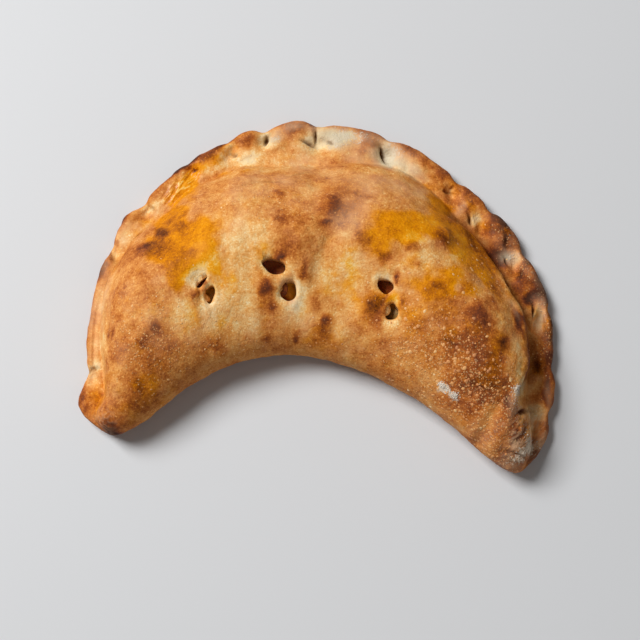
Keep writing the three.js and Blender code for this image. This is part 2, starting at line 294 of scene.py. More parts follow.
pinch_places = []
for b, inwards, *_ in PINCHES:
    out, turn = edge_radius(b) - inwards, math.radians(b)
    pinch_places.append((out * math.cos(turn), out * math.sin(turn)))
skin = bmesh.new()
bmesh.ops.create_grid(skin, x_segments=COLUMNS, y_segments=ROWS, size=0.5)
points = wrap(*grid_places(skin))
fine = (nearest_of(VENTS, points) < NEAR_VENT) | (nearest_of(pinch_places, points) < NEAR_PINCH)
fine &= grid_places(skin)[1] < EDGE
close_work = [e for e in skin.edges if fine[e.verts[0].index] and fine[e.verts[1].index]]
bmesh.ops.subdivide_edges(skin, edges=close_work, cuts=1, use_grid_fill=True)
skin.verts.index_update()
along, round_it = grid_places(skin)
print(len(skin.verts), "places on the grid,", len(close_work), "edges divided once more")

# %% Wrap it, and close the seam and the two tips
bearing_layer = skin.verts.layers.float.new("bearing")
inset_layer = skin.verts.layers.float.new("inset")
section = section_at(along)
points = wrap(along, round_it)
for vert, point, bearing in zip(skin.verts, points, section.bearing):
    vert.co = point
    vert[bearing_layer] = bearing
inset = edge_radius(section.bearing) - np.hypot(points[:, 0], points[:, 1])
for vert, value in zip(skin.verts, inset):
    vert[inset_layer] = value
close_up(skin)
print("closed:", all(e.is_manifold for e in skin.edges), "-", len(skin.faces), "faces")

# %% [markdown]
# ## The forms that baking gives
# Dough isn't a smooth loaf. It swells over lumps, blisters where steam collects, puckers where it was pinched and
# folds over itself at the right. These are low forms of a millimetre or two, so they could be left to a bump
# texture, but only real relief catches the light at a low angle and shows from the side. Each form is a named list
# of places, pushed out along the skin's own normals.
# %% Patches with uneven edges
def noise_at(points, size, seed=0, octaves=3):
    """Fractal noise of about -1 to 1, with lumps of that size in millimetres."""
    shift = Vector((seed * 7.31, seed * 3.17, seed * 5.77))
    return np.array([noise.fractal(Vector(p) / size + shift, 1.0, 2.0, octaves) for p in points])


def turned(points, x, y, turn):
    """How far points lie from a place along a direction and across it. The turn is in degrees."""
    c, s = math.cos(math.radians(turn)), math.sin(math.radians(turn))
    u, v = points[:, 0] - x, points[:, 1] - y
    return u * c + v * s, v * c - u * s


def patch(points, x, y, long, wide=None, turn=0, power=1.0):
    """How far points lie inside an oval patch: 1 in the middle, 0 well outside. A round one needs no width."""
    u, v = turned(points, x, y, turn)
    return np.exp(-(((u / long) ** 2 + (v / (wide or long)) ** 2) ** power))


def patches(points, places, power=1.0):
    """The sum of patches, each times its strength, which is the last value of its place."""
    return sum(strength * patch(points, *place, power=power) for *place, strength in places)


def uneven(points, amount, size):
    """The same plan places, pushed about a little, so that a patch's edge wanders."""
    pushed = points.copy()
    pushed[:, 0] += amount * noise_at(points, size, 11, 2)
    pushed[:, 1] += amount * noise_at(points, size, 23, 2)
    return pushed


halfway = patch(np.array([[1.5, 0, 0]]), 0, 0, 3)[0]
print("halfway to its radius, a patch has", round(float(halfway), 2), "of its strength")


# %% Blisters, knuckles and the rolled dough at the right
# x, y, half length, half width, turn, rise
BLISTERS = [
    (-79, 54, 3, 2.6, 0, 0.8), (-82, 2, 4, 4, 0, 0.9), (-88, -5, 4.5, 3, 30, 0.5), (-93, 46, 7, 4, 50, 0.4),
    (-73, -6, 5, 4, 0, 0.4), (-19, 71, 2.6, 2.6, 0, 0.4), (-18, 58, 4.5, 3.4, 20, 0.5), (-16, 42, 3, 3, 0, 0.4),
    (8, 64, 4.5, 7, -10, 0.4), (4, 55, 2.6, 2.2, 0, 0.4), (-6, 30, 2.8, 3.4, 0, 0.8), (-25, 23, 3.8, 3.8, 0, 1.3),
    (-22, 12, 2.8, 2.5, 0, 0.5), (-1, 17, 2.6, 3, 0, 0.6), (4, 6, 3.4, 3.2, 0, 1), (23, 49, 4, 3.6, 0, 0.6),
    (26, 16, 4.5, 4, 0, 1), (62, 49, 3.6, 4.8, 0, 1.7), (46, 43, 3.6, 3.2, 0, 0.8), (79, 9, 5.5, 7, 0, 0.8),
    (88, -4, 4.5, 4.5, 0, 0.4), (58, 24, 2.8, 2.5, 0, 0.5), (-36, 110, 5, 3, -10, 1.4), (-11, 114, 4.5, 3, 0, 1.3),
    (-23, 104, 5, 3.5, 0, 1), (27, 108, 5, 4, -10, 1.6), (20, 99, 8, 3, -8, 0.8), (52, 92, 5, 4, -30, 1),
    (-56, 96, 6, 3, 35, 1), (-98, 66, 4, 4, 0, 1.3), (-108, 38, 3, 6, 0, 0.8), (93, 56, 6, 3.4, -50, 1),
    (103, 34, 5, 3.4, -65, 1), (116, 14, 3, 8, 5, 0.8),
]
# broad swells and hollows of the dome, in the same way
SWOLLEN = [
    (6, 67, 9, 8, 0, 1.2), (18, 60, 6, 11, -20, -1.3), (-18, 53, 12, 10, 0, 0.8), (5, 45, 24, 5.5, 70, -1.8),
    (-7, 47, 20, 6, 72, 1.1), (62, 48, 11, 9, -30, 1.2), (-84, 2, 12, 14, 0, 1), (-66, 52, 10, 8, 30, -0.8),
    (30, 8, 10, 8, 0, 0.8), (-45, 6, 12, 8, 20, -0.9), (80, 8, 8, 12, 10, 1.2), (104.5, -28, 5, 8, 10, -5),
    (97, -46, 8, 6, -20, 1.2), (112.5, 9, 4, 9.5, 5, -2.2), (98, 45.5, 4.5, 6, -60, -2.2), (35, 98, 5, 4, -40, -1),
    (80.5, 66, 4, 4, 0, -1.2),
]
# bearing, its spread, distance in from the edge, its spread, rise: folds that run along the rim
EDGE_FOLDS = [
    (178, 10, 4.5, 1.1, -0.8), (176, 12, 8.5, 1.4, -0.7), (170, 9, 12.5, 1.6, -0.6), (-7, 8, 20, 2.4, 1.2),
    (-8, 8, 27, 2.6, -1.8), (112, 16, 15, 1.6, -0.5),
]
# x, y, half length, half width, turn, depth: creases that fingertips left
CREASES = [
    (-43.7, 100, 1.6, 0.9, -20, 1.4), (-27, 107.5, 2.2, 1, 80, 1.9), (-1.3, 110.5, 3.6, 0.8, 92, 2.2),
    (-5, 106.2, 4.4, 0.8, -23, 1.7), (6.2, 106.4, 1.8, 0.7, -35, 1.5), (33.9, 100.6, 3.6, 0.8, -70, 2.4),
    (38.3, 92.4, 1.5, 0.6, -40, 0.8), (67.2, 79.8, 2.4, 0.8, -15, 1.3), (69.4, 82.4, 1.3, 0.7, 60, 1),
    (78.4, 64.7, 3, 0.9, -75, 2.1), (97.2, 42.6, 2.6, 0.8, -60, 1.7), (96.4, 54, 3.2, 1.1, 90, 1.1),
    (109.7, 16.4, 3.3, 0.8, -82, 2.3), (110.8, -11, 5, 1.7, -75, 1.6), (101.5, -36.5, 4, 1.1, 20, 2.8),
    (100.6, -45.6, 3.6, 1.2, 65, 1.2), (97, -57.5, 7, 0.9, -16, 1.1), (-62.8, 91.7, 0.9, 0.6, 80, 1.1),
    (-72.5, 89.8, 0.8, 0.6, 80, 0.8), (-85.6, 71.2, 2.2, 1, -40, 0.9), (-106, 45.7, 4, 1.2, -60, 1.4),
    (-114, -13.3, 4, 1.2, 15, 1.2), (-24, 79.6, 7, 0.7, -3, 0.6), (-9, 85.5, 6, 0.7, 25, 0.5),
    (-36, 77.5, 5, 0.8, 15, 0.4),
]
# the line along which the upper dough hangs over the rim at the right
ROLL = [
    (62, 66), (70, 61.5), (78, 57), (84, 51), (89, 42), (93.5, 31.5), (97, 22.5), (101, 15), (103, 7), (104, -3),
    (103.5, -13.5), (101, -23.5), (97, -30),
]
ROLL_RISE, ROLL_DROP = 1.5, 3.4
NEAR_ROLL = 15  # places farther from the line than this aren't measured


def beside(points, line):
    """How far points lie to the left of a line, less than 0 to its right, and their share of the way along it."""
    curve, shares = smooth_curve(line, 14)
    tangents = np.gradient(curve, axis=0)
    tangents /= np.linalg.norm(tangents, axis=1)[:, None]
    away, share = np.full(len(points), 99.0), np.zeros(len(points))
    near = np.flatnonzero(nearest_of(line, points) < NEAR_ROLL)
    gaps = points[near, None, :2] - curve
    closest = np.argmin((gaps**2).sum(axis=2), axis=1)
    gap, tangent = gaps[np.arange(len(near)), closest], tangents[closest]
    away[near] = tangent[:, 0] * gap[:, 1] - tangent[:, 1] * gap[:, 0]
    share[near] = shares[closest]
    return away, share


def streaked(points, turn, along, across):
    """The places, turned and squeezed so that noise read there comes out as streaks that run along that turn."""
    u, v = turned(points, 0, 0, turn)
    return np.column_stack([u / along, v / across, points[:, 2] / across])


points, normals = places_and_normals(skin)
bearing = np.array([v[bearing_layer] for v in skin.verts])
inset = np.array([v[inset_layer] for v in skin.verts])
top = ease(-0.2, 0.4, normals[:, 2])
wandering = uneven(points, 1.2, 9)
forms = patches(wandering, BLISTERS, 1.3) + patches(wandering, SWOLLEN)
for at, run, inwards, width, rise in EDGE_FOLDS:
    beside_fold = inset - inwards + 0.5 * wandering[:, 0] - 0.5 * points[:, 0]
    forms += rise * bell(bearing - at, run) * bell(beside_fold, width)
creased = patches(uneven(points, 0.35, 2.2), CREASES)
forms -= creased
away, share = beside(uneven(points, 0.7, 6), ROLL)
hanging = ease(0, 0.12, share) * ease(1, 0.9, share) * mix(0.75, 1, ease(0.4, 0.6, share))
valley = hanging * ease(-0.5, 0.8, away) * bell(np.maximum(away - 1.5, 0), 3.2)
forms += ROLL_RISE * hanging * bell(away + 2, 2.2) - ROLL_DROP * valley
wrinkled = patch(points, 103, -47, 10, 14, -25, power=1.3) + 0.4 * patch(points, -106, -40, 8)
wrinkles = 1 - 2 * np.abs(noise_at(streaked(points, 35, 2.6, 0.9), 3, 3, 2))
crinkled = patch(points, -70.5, 82.5, 13, 5.5, 51, power=1.5)
crinkles = 1 - 2.4 * np.abs(noise_at(streaked(points, 52, 2.4, 0.9), 2.6, 5, 2))
forms += 0.5 * wrinkles * wrinkled + 0.6 * crinkles * crinkled
lumps = 0.9 * noise_at(points, 26, 1) + 0.4 * noise_at(points, 9, 2) + 0.14 * noise_at(points, 3.2, 4)
print("forms from", round(float(forms.min()), 1), "to", round(float(forms.max()), 1), "mm")

# %% [markdown]
# ## The vents
# A vent is snipped with scissors, so it is a torn oval, with dough that sags into it on one side and a lip that
# curls up on the other. The skin is first drawn down round each place, and then an uneven plug is cut out of it, so
# that the cut's edge lies in the throat and the lip stays round.
# %% Draw the skin down into the vents
# x, y, half length, half width, turn, and how far the dough beside a vent rises or sags
VENT_SIDES = [
    (-58.9, 27.5, 5.5, 3.6, 46, -1.2), (-60.4, 19.2, 5, 1.4, 40, 0.9), (-55.6, 23.7, 3.6, 1.3, 60, 0.8),
    (-56.2, 17, 2.2, 4, 0, -0.9), (-16.8, 36.5, 2, 3, 0, 0.7), (-26.5, 37.5, 4, 3, -24, 0.5),
    (-11, 17, 4, 2.5, 40, 0.7), (-19, 19, 2, 3, 80, -0.9), (37, 28, 2.5, 4, -35, -0.6), (32.6, 12, 2, 3.2, 0, -0.8),
    (40, 14, 1.5, 4, 0, 0.5),
]
# x, y, half length, half width, turn, and how much wider than the middle the far end is
HOLES = [
    (-56.7, 25.3, 3.7, 1.3, 49, -0.1),
    (-52.8, 19.5, 4.6, 2.5, 86, 0.2),
    (-21.6, 33.2, 6.5, 3.8, -14, 0.1),
    (-14.3, 21.5, 5.4, 4.0, 80, 0),
    (32.9, 23.7, 4.6, 3.5, -42, 0.15),
    (36.0, 11.2, 4.5, 3.5, 74, 0),
]


def ragged_outline(angle, number):
    """The share by which a snipped edge wanders in and out as it goes round."""
    slow = 0.05 * np.cos(2 * angle + number) + 0.05 * np.cos(3 * angle + 2.3 * number)
    return 1 + slow + 0.025 * np.cos(5 * angle + number)


def vent_reach(points, hole, number):
    """1 on a vent's ragged outline, less inside it and more outside."""
    x, y, long, wide, turn, _ = hole
    u, v = turned(points, x, y, turn)
    return np.hypot(u / long, v / wide) / ragged_outline(np.arctan2(v / wide, u / long), number)


THROATS = [1.5, 1.5, 0.3, 1.4, 0.7, 1.4]  # how far the skin is drawn down into each vent
throats = 0
for number, (hole, deep) in enumerate(zip(HOLES, THROATS)):
    reach = vent_reach(points, hole, number)
    throats = throats + 0.3 * bell(reach - 1.4, 0.3) - deep * (1 - ease(0.75, 1.25, reach))
forms += patches(points, VENT_SIDES) + throats
outwards = (forms * top + lumps * ease(0, 3, points[:, 2]))[:, None]
reshape(skin, points + normals * outwards)
for vert in skin.verts:
    vert.co.z = max(vert.co.z, 0)
skin.normal_update()
print("the crust stands", round(max(v.co.z for v in skin.verts), 1), "mm high")

# %% [markdown]
# ## The filling and the space it lies in
# Under the crust lies melted cheese and sauce, seen only through the vents. The space for it is a closed form drawn
# in from the skin by the thickness of the dough, and the filling is the same form a little smaller. A grid wrapped
# into a tube makes both, with its ends drawn to a point and merged.
# %% A closed form inside the crust
WALL, SIDE_WALL, SEAL_WIDTH, HEADROOM, GAP = 4.5, 6.5, 9, 3.5, 0.5
FILLED_FROM, FILLED_TO, FILLED_TAPER, FILLED_WAIST = 0.09, 0.9, 0.2, 0.25
CRESCENT_LENGTH = 200


def inner_form(columns, rows, inset, headroom):
    """A bmesh of the space inside the crust, drawn in by inset from the walls and by headroom too from the top."""
    bm = bmesh.new()
    bmesh.ops.create_grid(bm, x_segments=columns, y_segments=rows, size=0.5)
    along, round_it = grid_places(bm)
    drawn_in = inset / CRESCENT_LENGTH
    section = Section(mix(FILLED_FROM + drawn_in, FILLED_TO - drawn_in, along))
    taper = np.sqrt(rounded(np.minimum(along, 1 - along) / FILLED_TAPER))
    centre = (SIDE_WALL + section.width - section.rim - SEAL_WIDTH) / 2
    turn = 2 * np.pi * round_it
    distance = centre - (centre - SIDE_WALL - inset) * taper * np.cos(turn)
    top = top_height(section, distance)
    waist = WALL + FILLED_WAIST * (top - 2 * WALL)
    target = np.where(np.sin(turn) > 0, np.maximum(top - WALL - inset - headroom, waist), WALL + inset)
    height = mix(waist, target, np.abs(np.sin(turn)) * taper)
    reshape(bm, np.column_stack([section.place(distance), height]))
    close_up(bm)
    return bm


def add_object(name, data):
    obj = bpy.data.objects.new(name, data)
    bpy.context.scene.collection.objects.link(obj)
    return obj


def make_object(name, bm):
    """An object in metres in the part's frame, from a bmesh in millimetres from the round's centre."""
    bmesh.ops.translate(bm, verts=bm.verts, vec=(*ROUND_CENTRE, 0))
    bmesh.ops.scale(bm, verts=bm.verts, vec=(0.001, 0.001, 0.001))
    mesh = bpy.data.meshes.new(name)
    bm.to_mesh(mesh)
    bm.free()
    mesh.shade_smooth()
    return add_object(name, mesh)


def keep_values(obj, name, values):
    """Keeps one value a vertex on an object's mesh, where a shader can read it."""
    kept = obj.data.attributes.new(name, "FLOAT", "POINT")
    kept.data.foreach_set("value", np.array(values, np.float32))


def millimetres(obj):
    """An object's vertices, in millimetres from the round's centre."""
    places = np.empty(len(obj.data.vertices) * 3)
    obj.data.vertices.foreach_get("co", places)
    return places.reshape(-1, 3) * 1000 - (*ROUND_CENTRE, 0)


# x, y, half length, half width, turn, rise: where the filling has boiled up under a vent
BOILED_UP = [
    (-15, 21, 5, 5, 0, 2.8), (36.5, 11, 5, 5, 0, 2.6), (-53, 19.5, 4, 5, 0, 2.4), (-21, 35, 6, 5, 0, -1.5),
    (33, 24, 5, 5, 0, 1.2),
]
# the same, with the kind: 0 is sauce, 0.5 melted cheese and 1 pale curd; the lighter kinds are partly painted light
KINDS = [(-13, 24, 4.3, 6, 0, 0.55), (36.5, 11, 5.5, 5.5, 0, 0.95), (-53, 19.5, 4, 5, 0, 0.7)]
filling = inner_form(150, 90, GAP, HEADROOM)
places, normals = places_and_normals(filling)
curds = 0.9 * noise_at(places, 7, 5, 3) + 0.5 * noise_at(places, 2.6, 6, 2) + patches(places, BOILED_UP, 1.5)
kinds = np.clip(patches(places, KINDS, 2) + 0.2 * noise_at(places, 5, 7, 2), 0, 1)
upwards = ease(0, 0.5, normals[:, 2])
for vert, curd, up in zip(filling.verts, curds, upwards):
    vert.co.z += float(curd * up)
cheese = make_object("cheese_filling", filling)
keep_values(cheese, "kind", kinds)
print("the filling has", len(cheese.data.polygons), "faces")

# %% Cut the space and the vents out of the skin
PLUG_DEEP, PLUG_PROUD, PLUG_SUNK, PLUG_SIDES = 13, 3, 2, 48
PLUG_TOP, PLUG_FOOT = 0.98, 0.86  # a plug narrows downwards, so that the hole's wall can be seen
baked = make_object("baked_crust", skin.copy())
skin_tree = BVHTree.FromBMesh(skin)
cavity = make_object("cavity", inner_form(110, 44, 0, 0))
plugs = bmesh.new()
for number, (x, y, long, wide, turn, taper) in enumerate(HOLES):
    above = skin_tree.ray_cast(Vector((x, y, 80)), Vector((0, 0, -1)))[0].z
    tall = PLUG_DEEP + PLUG_PROUD
    made = bmesh.ops.create_cone(plugs, cap_ends=True, segments=PLUG_SIDES, radius1=1, radius2=1, depth=tall)["verts"]
    for vert in made:
        outline = float(ragged_outline(math.atan2(vert.co.y, vert.co.x), number))
        narrow = outline * (PLUG_TOP if vert.co.z > 0 else PLUG_FOOT)
        vert.co.y *= wide * narrow * (1 + taper * vert.co.x)
        vert.co.x *= long * narrow
    bmesh.ops.rotate(plugs, verts=made, cent=(0, 0, 0), matrix=Matrix.Rotation(math.radians(turn), 3, "Z"))
    middle = above + PLUG_SUNK + (PLUG_PROUD - PLUG_DEEP) / 2
    bmesh.ops.translate(plugs, verts=made, vec=(x, y, middle))
plugs = make_object("plugs", plugs)
for cutter in (cavity, plugs):
    cut = baked.modifiers.new("cut", "BOOLEAN")
    cut.operation, cut.solver, cut.object = "DIFFERENCE", "MANIFOLD", cutter
evaluated = baked.evaluated_get(bpy.context.evaluated_depsgraph_get())
cut_mesh = bpy.data.meshes.new_from_object(evaluated)
baked.modifiers.clear()
baked.data = cut_mesh
for cutter in (cavity, plugs):
    bpy.data.objects.remove(cutter)
print("the crust has", sum(len(p.vertices) - 2 for p in baked.data.polygons), "triangles")

# %% [markdown]
# ## Where the crust is brown, pale, oily and floury
# An oven browns what stands proud and dry, and leaves what was pressed in or folded pale, and in the deepest hollows
# of the rim the dough stays damp and raw. On the rim at the right, and in its hollows, some of the browning is
# painted shade as well. Oil that bubbled out of the vents stains the crust orange. A painter would paint these as
# masks, and here each mask is a list of oval patches with wandering edges, kept on the mesh as one value a vertex.
# The shader adds everything finer than a millimetre. There are many ovals, because a crust is never brown in one even
# tone. They are grouped by strength, and each one is x, y and a radius, or x, y, half length and half width, and then
# a turn where it has one.
# %% Browned patches
# how much browner, and the ovals; those on the rim and in its hollows at the right are also painted shade
BROWN = {
    0.04: [(-1, 69.5, 4.9, 3.9), (111.5, 31.5, 4.6, 6.1, -20)],
    0.05: [
        (37.5, 97.5, 7.2, 4.1, -20), (14, 93.5, 13.2, 3, -5), (107.5, 40.5, 4.1, 5.1, 30), (-16, 109.5, 9.2, 3.6),
        (6, 110.5, 7.1, 3.1), (-84, 50, 6), (-63, 49, 4.9, 7.8), (-9, 55, 4.9), (90, -46, 5.9, 7.9, -20),
    ],
    0.06: [
        (-95, -40.5, 4, 2.5), (18.5, 64.5, 5.9, 2.9), (-29, 102, 3.1), (101, 50, 4.1, 5.1, 30),
        (113, 14.5, 3.1, 6.1), (-68, -18.5, 7, 3, 20), (-113.5, -30.5, 3.1, 4.1), (-77.5, 48, 4.9, 3),
        (-40.5, 100.5, 4.1, 3.1), (-86.5, 62, 4.1), (6, 53.5, 7.8, 5.8), (21, 70.5, 5.9), (6, 94, 9.2, 4.1),
        (113, 14, 3.1, 6.1), (64.5, 24.5, 6.8, 3.9), (7.5, 63, 6.8, 4.9), (-87, -24, 5.9, 4.9),
        (-45.5, 40.5, 2.9, 3.9), (-36.5, 21.5, 3.4, 4.4), (35, -1.5, 6.9, 3.9), (59, -6, 5.9, 6.8),
        (102.5, 36.5, 5.1, 4.6, -40),
    ],
    0.08: [
        (47.5, 35.5, 2.4), (79.5, -26.5, 3.9, 4.9), (-88.5, -21, 3), (5, 4.5, 3, 2), (8.5, -6.5, 4, 2),
        (15.5, 39, 4.4, 1.9), (-70, 40, 2.9, 3.9), (93.5, 61.5, 4.1, 3.1), (113.5, 31.5, 4.1, 5.1),
        (37, 92, 6.1, 3.1, -20), (93, -34.5, 3.9, 4.9), (99, 46.5, 4.1, 3.1), (18.5, 64.5, 3.9),
        (13.5, 28, 3.9, 5.9), (-44, 25, 3.9, 2.9), (64, -13, 4.9, 2.4), (1, 103, 4.1, 7.1), (-12, 111, 3.1),
        (-63.5, 40, 3.9, 1.9), (-74.5, 31, 4.9, 2.9), (32.5, 14, 2, 5.9), (37.5, 93.5, 7.1, 5.1, -20),
        (64, 10, 6.8, 5.8), (78.5, 10, 4.9, 5.9), (82.5, 39.5, 4, 6, 30), (-16, 52.5, 4.4, 3.4),
        (-30, 37, 2.9, 4.9), (-103.5, 6, 6), (69, 16, 3.9, 4.9), (-85.5, 16.5, 4.9, 5.9), (-12.5, 44.5, 7.8, 14.6),
        (22, 69.5, 5.9, 4.4), (-34, 37, 3.9, 4.9), (-30.5, 85, 13, 2.5, 8), (-42.5, 65, 4.9, 3.9),
        (59, -8, 7.8, 6.8), (65, -35.5, 10, 4, -38), (108, 31, 4.1), (-14.5, 109, 5.1, 3.6), (-14, 103, 3.6, 2.5),
    ],
    0.1: [
        (98, 44.5, 2.5), (41, 98.5, 4.1, 3.1, -20), (38, 28.5, 2.4, 2.9), (83, -47, 2.5, 3.5), (-89, 65, 2.5),
        (86.5, 26, 2.5, 5, 20), (73, 72.5, 2.5), (5, 100.5, 3.6, 2), (-95.5, 7, 2.5), (-111.5, 4.5, 2, 3.1),
        (-92.5, -2, 2.5, 2), (-37, 99.5, 3.1, 2.5), (28, 4, 5.9, 2), (73.5, -7, 2.9, 2.4), (64, -14.5, 2.9, 2.4),
        (96.5, -43.5, 1.5, 4.9), (84.5, 56.5, 4.1, 2.5), (-31.5, 32.5, 1.9, 2.9), (64.5, 53.5, 4, 2),
        (54.5, 18, 1.9, 3.9, 20), (-56, 21.5, 1.5, 2), (113.5, 10, 3.6, 7.2), (102, 38.5, 5.1, 2.6),
        (15.5, 53.5, 3.9), (95.5, -41.5, 2, 8.9), (85.5, -32, 4.9, 2.9), (-22.5, 109.5, 3.1, 2.5),
        (-19.5, 37.5, 3.1, 2.6), (-102, 62, 5.1, 4.1, 40), (101, 52.5, 4.6, 4.1), (106, 42.5, 4.1, 6.1, -20),
        (-45, 99.5, 3.1), (-114.5, 13.5, 3.1, 6.1), (-88.5, 40.5, 4, 2.5), (97, 40.5, 8.2, 5.1, -50),
        (-78.5, 44, 6.4, 3.9, 30), (-83.5, 46, 4.9, 3), (-88, 3, 4.9, 3.9), (-50.5, -5.5, 5.9, 3),
        (-97.5, -42.5, 7, 4), (17, 65.5, 3.9, 2.9), (63, 20.5, 6.8), (64, -6, 5.8, 4.9), (-17.5, 38.5, 4.1, 2.6),
        (-6.5, 31.5, 2.4, 3.4), (-58.5, 86, 6.1, 3.1, 20), (-74.5, 11.5, 3.9, 2.4), (22, 70.5, 4.9, 3.9),
        (-97.5, 38.5, 5, 5, 20), (-98.5, 18, 3.9, 4.9), (-5, 82.5, 10, 3, -10), (54.5, 16, 6.8, 4.4),
        (66.5, -3.5, 7.8, 6.8), (97, 45.5, 6.1, 5.1), (78, 38.5, 4, 7, 30), (106, 35.5, 5.1, 7.1, -25),
        (54.5, 6, 8.8, 6.8), (102, -3.5, 1.1, 13.9, 4), (79.5, -50, 9, 5, -35), (71.5, 81, 2.5, 3.1),
        (40, 102.5, 4.1, 3.1, -30),
    ],
    0.12: [
        (107, 23.5, 2.5), (118, 12.5, 1.5, 6.1), (-56, 16, 2.4), (-58, 25.5, 2.6, 4.6), (-75.5, 59, 2, 2.5),
        (-88, 68.5, 2.6), (-42, 101.5, 2, 2.5), (5, 101.5, 4.1, 2), (-1, 61.5, 2.4, 2), (7, 4.5, 3, 2),
        (87.5, 73, 1.5, 4.1, 20), (105.5, 42.5, 3.1), (114.5, -4.5, 3.1, 5.1), (95.5, 46.5, 5.1, 2),
        (89, -10.5, 2, 4.9), (36, 99, 3.1, 2.6), (-89, 68, 3.1, 3.6), (-103, -33, 7), (83.5, 4, 4.9, 3.9),
        (64.5, -32, 6, 4, -30), (-97.5, -8.5, 3.9, 4.9), (-91.5, -29, 5.9, 6.9), (8, 65, 7.8, 8.3),
        (-81.5, -4.5, 5.9, 4.9), (26.5, 43, 5.8, 4.9), (27.5, 11, 6.4, 6.9), (73.5, 1, 7.8, 6.8),
        (93.5, 55, 7.1, 4.6, -45), (113, 22.5, 3.1, 5.1), (70, 36.5, 3.9, 2.9, 20), (104.5, -53.5, 8.1, 7.1, 30),
        (115, -26, 1.5, 7.1, 6), (86.5, 61, 5.1, 4.6, -30), (-24, 101, 4.6, 2.5, -10),
    ],
    0.14: [
        (-18, 37, 3.6, 2, 20), (-55.5, 21.5, 2, 3.9), (-65.5, 91, 3.1, 2.6), (-85.5, 68, 3.1, 2.5),
        (41.5, 15, 2.9, 2.4), (-61, 13.5, 2.4, 3.4), (91, -13.5, 2, 3.4), (-7, 28, 2, 4.4), (-17, 23.5, 2),
        (-18.5, 37, 4.1, 2, 15), (102, 4.5, 1.5, 4.5), (116, 15.5, 1.5, 3.1), (93.5, 65, 5.1, 4.1, -30),
        (-104, 53.5, 1.5, 4.1), (-6.5, 30.5, 2, 3.9), (113.5, 31, 3.6, 6.1, -20), (32, 14.5, 2.4, 3.9),
        (81, -32.5, 3.4, 2.9), (-95, 45.5, 6, 3, 35), (-77, -13, 10.8, 5.9, 20), (-87, -31, 9.9, 6, 25),
        (-114, -36.5, 3.1, 6.1, 20), (70.5, 69.5, 4.1), (88.5, 62.5, 8.2, 5.1, -40), (89.5, 30, 2.5, 7, 20),
        (81.5, 15, 4.4), (70, -26, 6.9, 3.9), (-95.5, -21, 2.5, 3), (-71, -5, 4.9, 3.9), (-68, 62, 2.5, 1.5, 30),
        (8, 66.5, 3.9, 5.9, -10), (-24.5, 18, 3.9, 6.9), (-1, 13, 2.9, 2.5), (26.5, 9.5, 5.9, 4.9),
        (32.5, -3.5, 4.9, 3.9), (1, -1, 5, 2.5), (67, 63, 4.5, 4, -30), (82, -6, 6.8, 7.8), (66.5, -20, 6.9, 5.9),
        (77.5, -8.5, 9.7, 6.8), (83.5, 61, 6.1, 4.1, -30), (83, 44, 4, 6, 30), (89, -55, 5),
        (111, -11, 3.1, 5.1, -10), (-46, 107, 4.1, 2.6, 30),
    ],
    0.16: [
        (47.5, 35.5, 2.9, 2.4), (38.5, 28.5, 2.4, 3.4), (84, 16.5, 2.9), (-66.5, 91, 3.1), (87, 38.5, 2.5, 6, 25),
        (103, 35.5, 3.1), (108, 22.5, 2.5, 3.1), (37.5, 30, 2.9), (113.5, 9, 3.1, 6.1), (115, 6, 2.5, 5.1),
        (-74.5, 61, 4), (68.5, 78, 4.1, 5.1), (90.5, -8, 2.4, 6.8), (-79, 43.5, 6.9, 5.9), (18.5, 4.5, 3.5, 2.5),
        (71, 24, 2.9, 2.4), (90, -45, 4.4, 7.9, -20), (98, 60.5, 4.6, 5.1, -40), (78.5, 77.5, 6.1, 2.5, -40),
        (55.5, 95, 6.1, 2.5, -35), (76.5, 72.5, 8.1, 4.6, -35), (96, 54, 2, 4.1),
    ],
    0.18: [
        (39.5, 27.5, 2.4, 3.9), (35.5, 20, 2.4), (89, 23.5, 2, 4, 30), (92.5, -31, 3.4, 6.9), (34, 18, 3.4, 2.4),
        (26.5, 16, 4.4), (77.5, 52.5, 4, 7.1, 40), (74, -34, 11.8, 5.9, -35),
    ],
    0.2: [
        (111.5, 26, 2.5, 3.1), (-28, 39, 2.9), (-68.5, 55.5, 3.9, 3.4), (-50, 106, 4.6, 2, 30),
        (90.5, 47, 5.1, 3.1), (95.5, -49, 3, 5), (-54, -4.5, 7.9, 4, 5), (-118.5, -26.5, 2, 5.1, -20),
        (-60, 20, 1.2, 4.4, -34), (-25.5, -1, 3.5, 2), (58, 23.5, 3.9, 2.9), (99, 32, 3.6, 8.1, 30),
        (90.5, -3.5, 3.4, 2.9), (118.5, 7, 2, 9.2, -5), (116.5, -9.5, 3.1, 8.1), (94, 66.5, 6.1, 3.1, -40),
        (65.5, 88.5, 7.1, 2.5, -40), (93, 51, 3.1, 4.6, 30), (100, -45, 2.5, 4, -35),
    ],
    0.22: [
        (96, -53, 2.5, 3), (97, 3, 2, 4.4), (95, 43.5, 3.1, 3.6), (92, -32, 2.5, 4.9), (-85, -4, 4.4, 2.9, 20),
        (-101, 1.5, 1.5, 3), (21.5, 48, 4.4, 2.9, -20), (32.5, 37.5, 3.4, 2.9), (77.5, 9.5, 5.8, 8.3, 15),
        (103, -16, 1.3, 6, -5), (-36.5, 108, 4.6, 3.6, 10), (48, 102, 7.1, 2.5, -30),
    ],
    0.24: [
        (37, 27.5, 2.6), (-104.5, 54, 2, 6.1), (-101, 66, 4.6, 3.6, 40), (-17.5, 58, 4.9, 3.9), (-23, 13, 2.9),
        (46, 43, 3.4, 2.9), (99.5, -53.5, 9, 6, 30), (116, 24, 3.1, 6.1, -20), (13.5, 113, 3.1, 2, -10),
        (35, 109, 7.1, 2.5, -25),
    ],
    0.25: [(-72.5, 89.5, 1.5, 1), (-110, 39.5, 2.5, 6.1, -20), (115, -21, 2, 5.1)],
    0.26: [
        (91, 46.5, 3.1, 5.1, 20), (-89, 44.5, 7.5, 3.5, 40), (-20, 71, 2.5), (-2.5, 17, 2.5, 3.4), (108.5, 23, 4.6),
        (22.5, 102.5, 3.6, 3.1),
    ],
    0.28: [(4, 54.5, 2.9, 1.9, 20)],
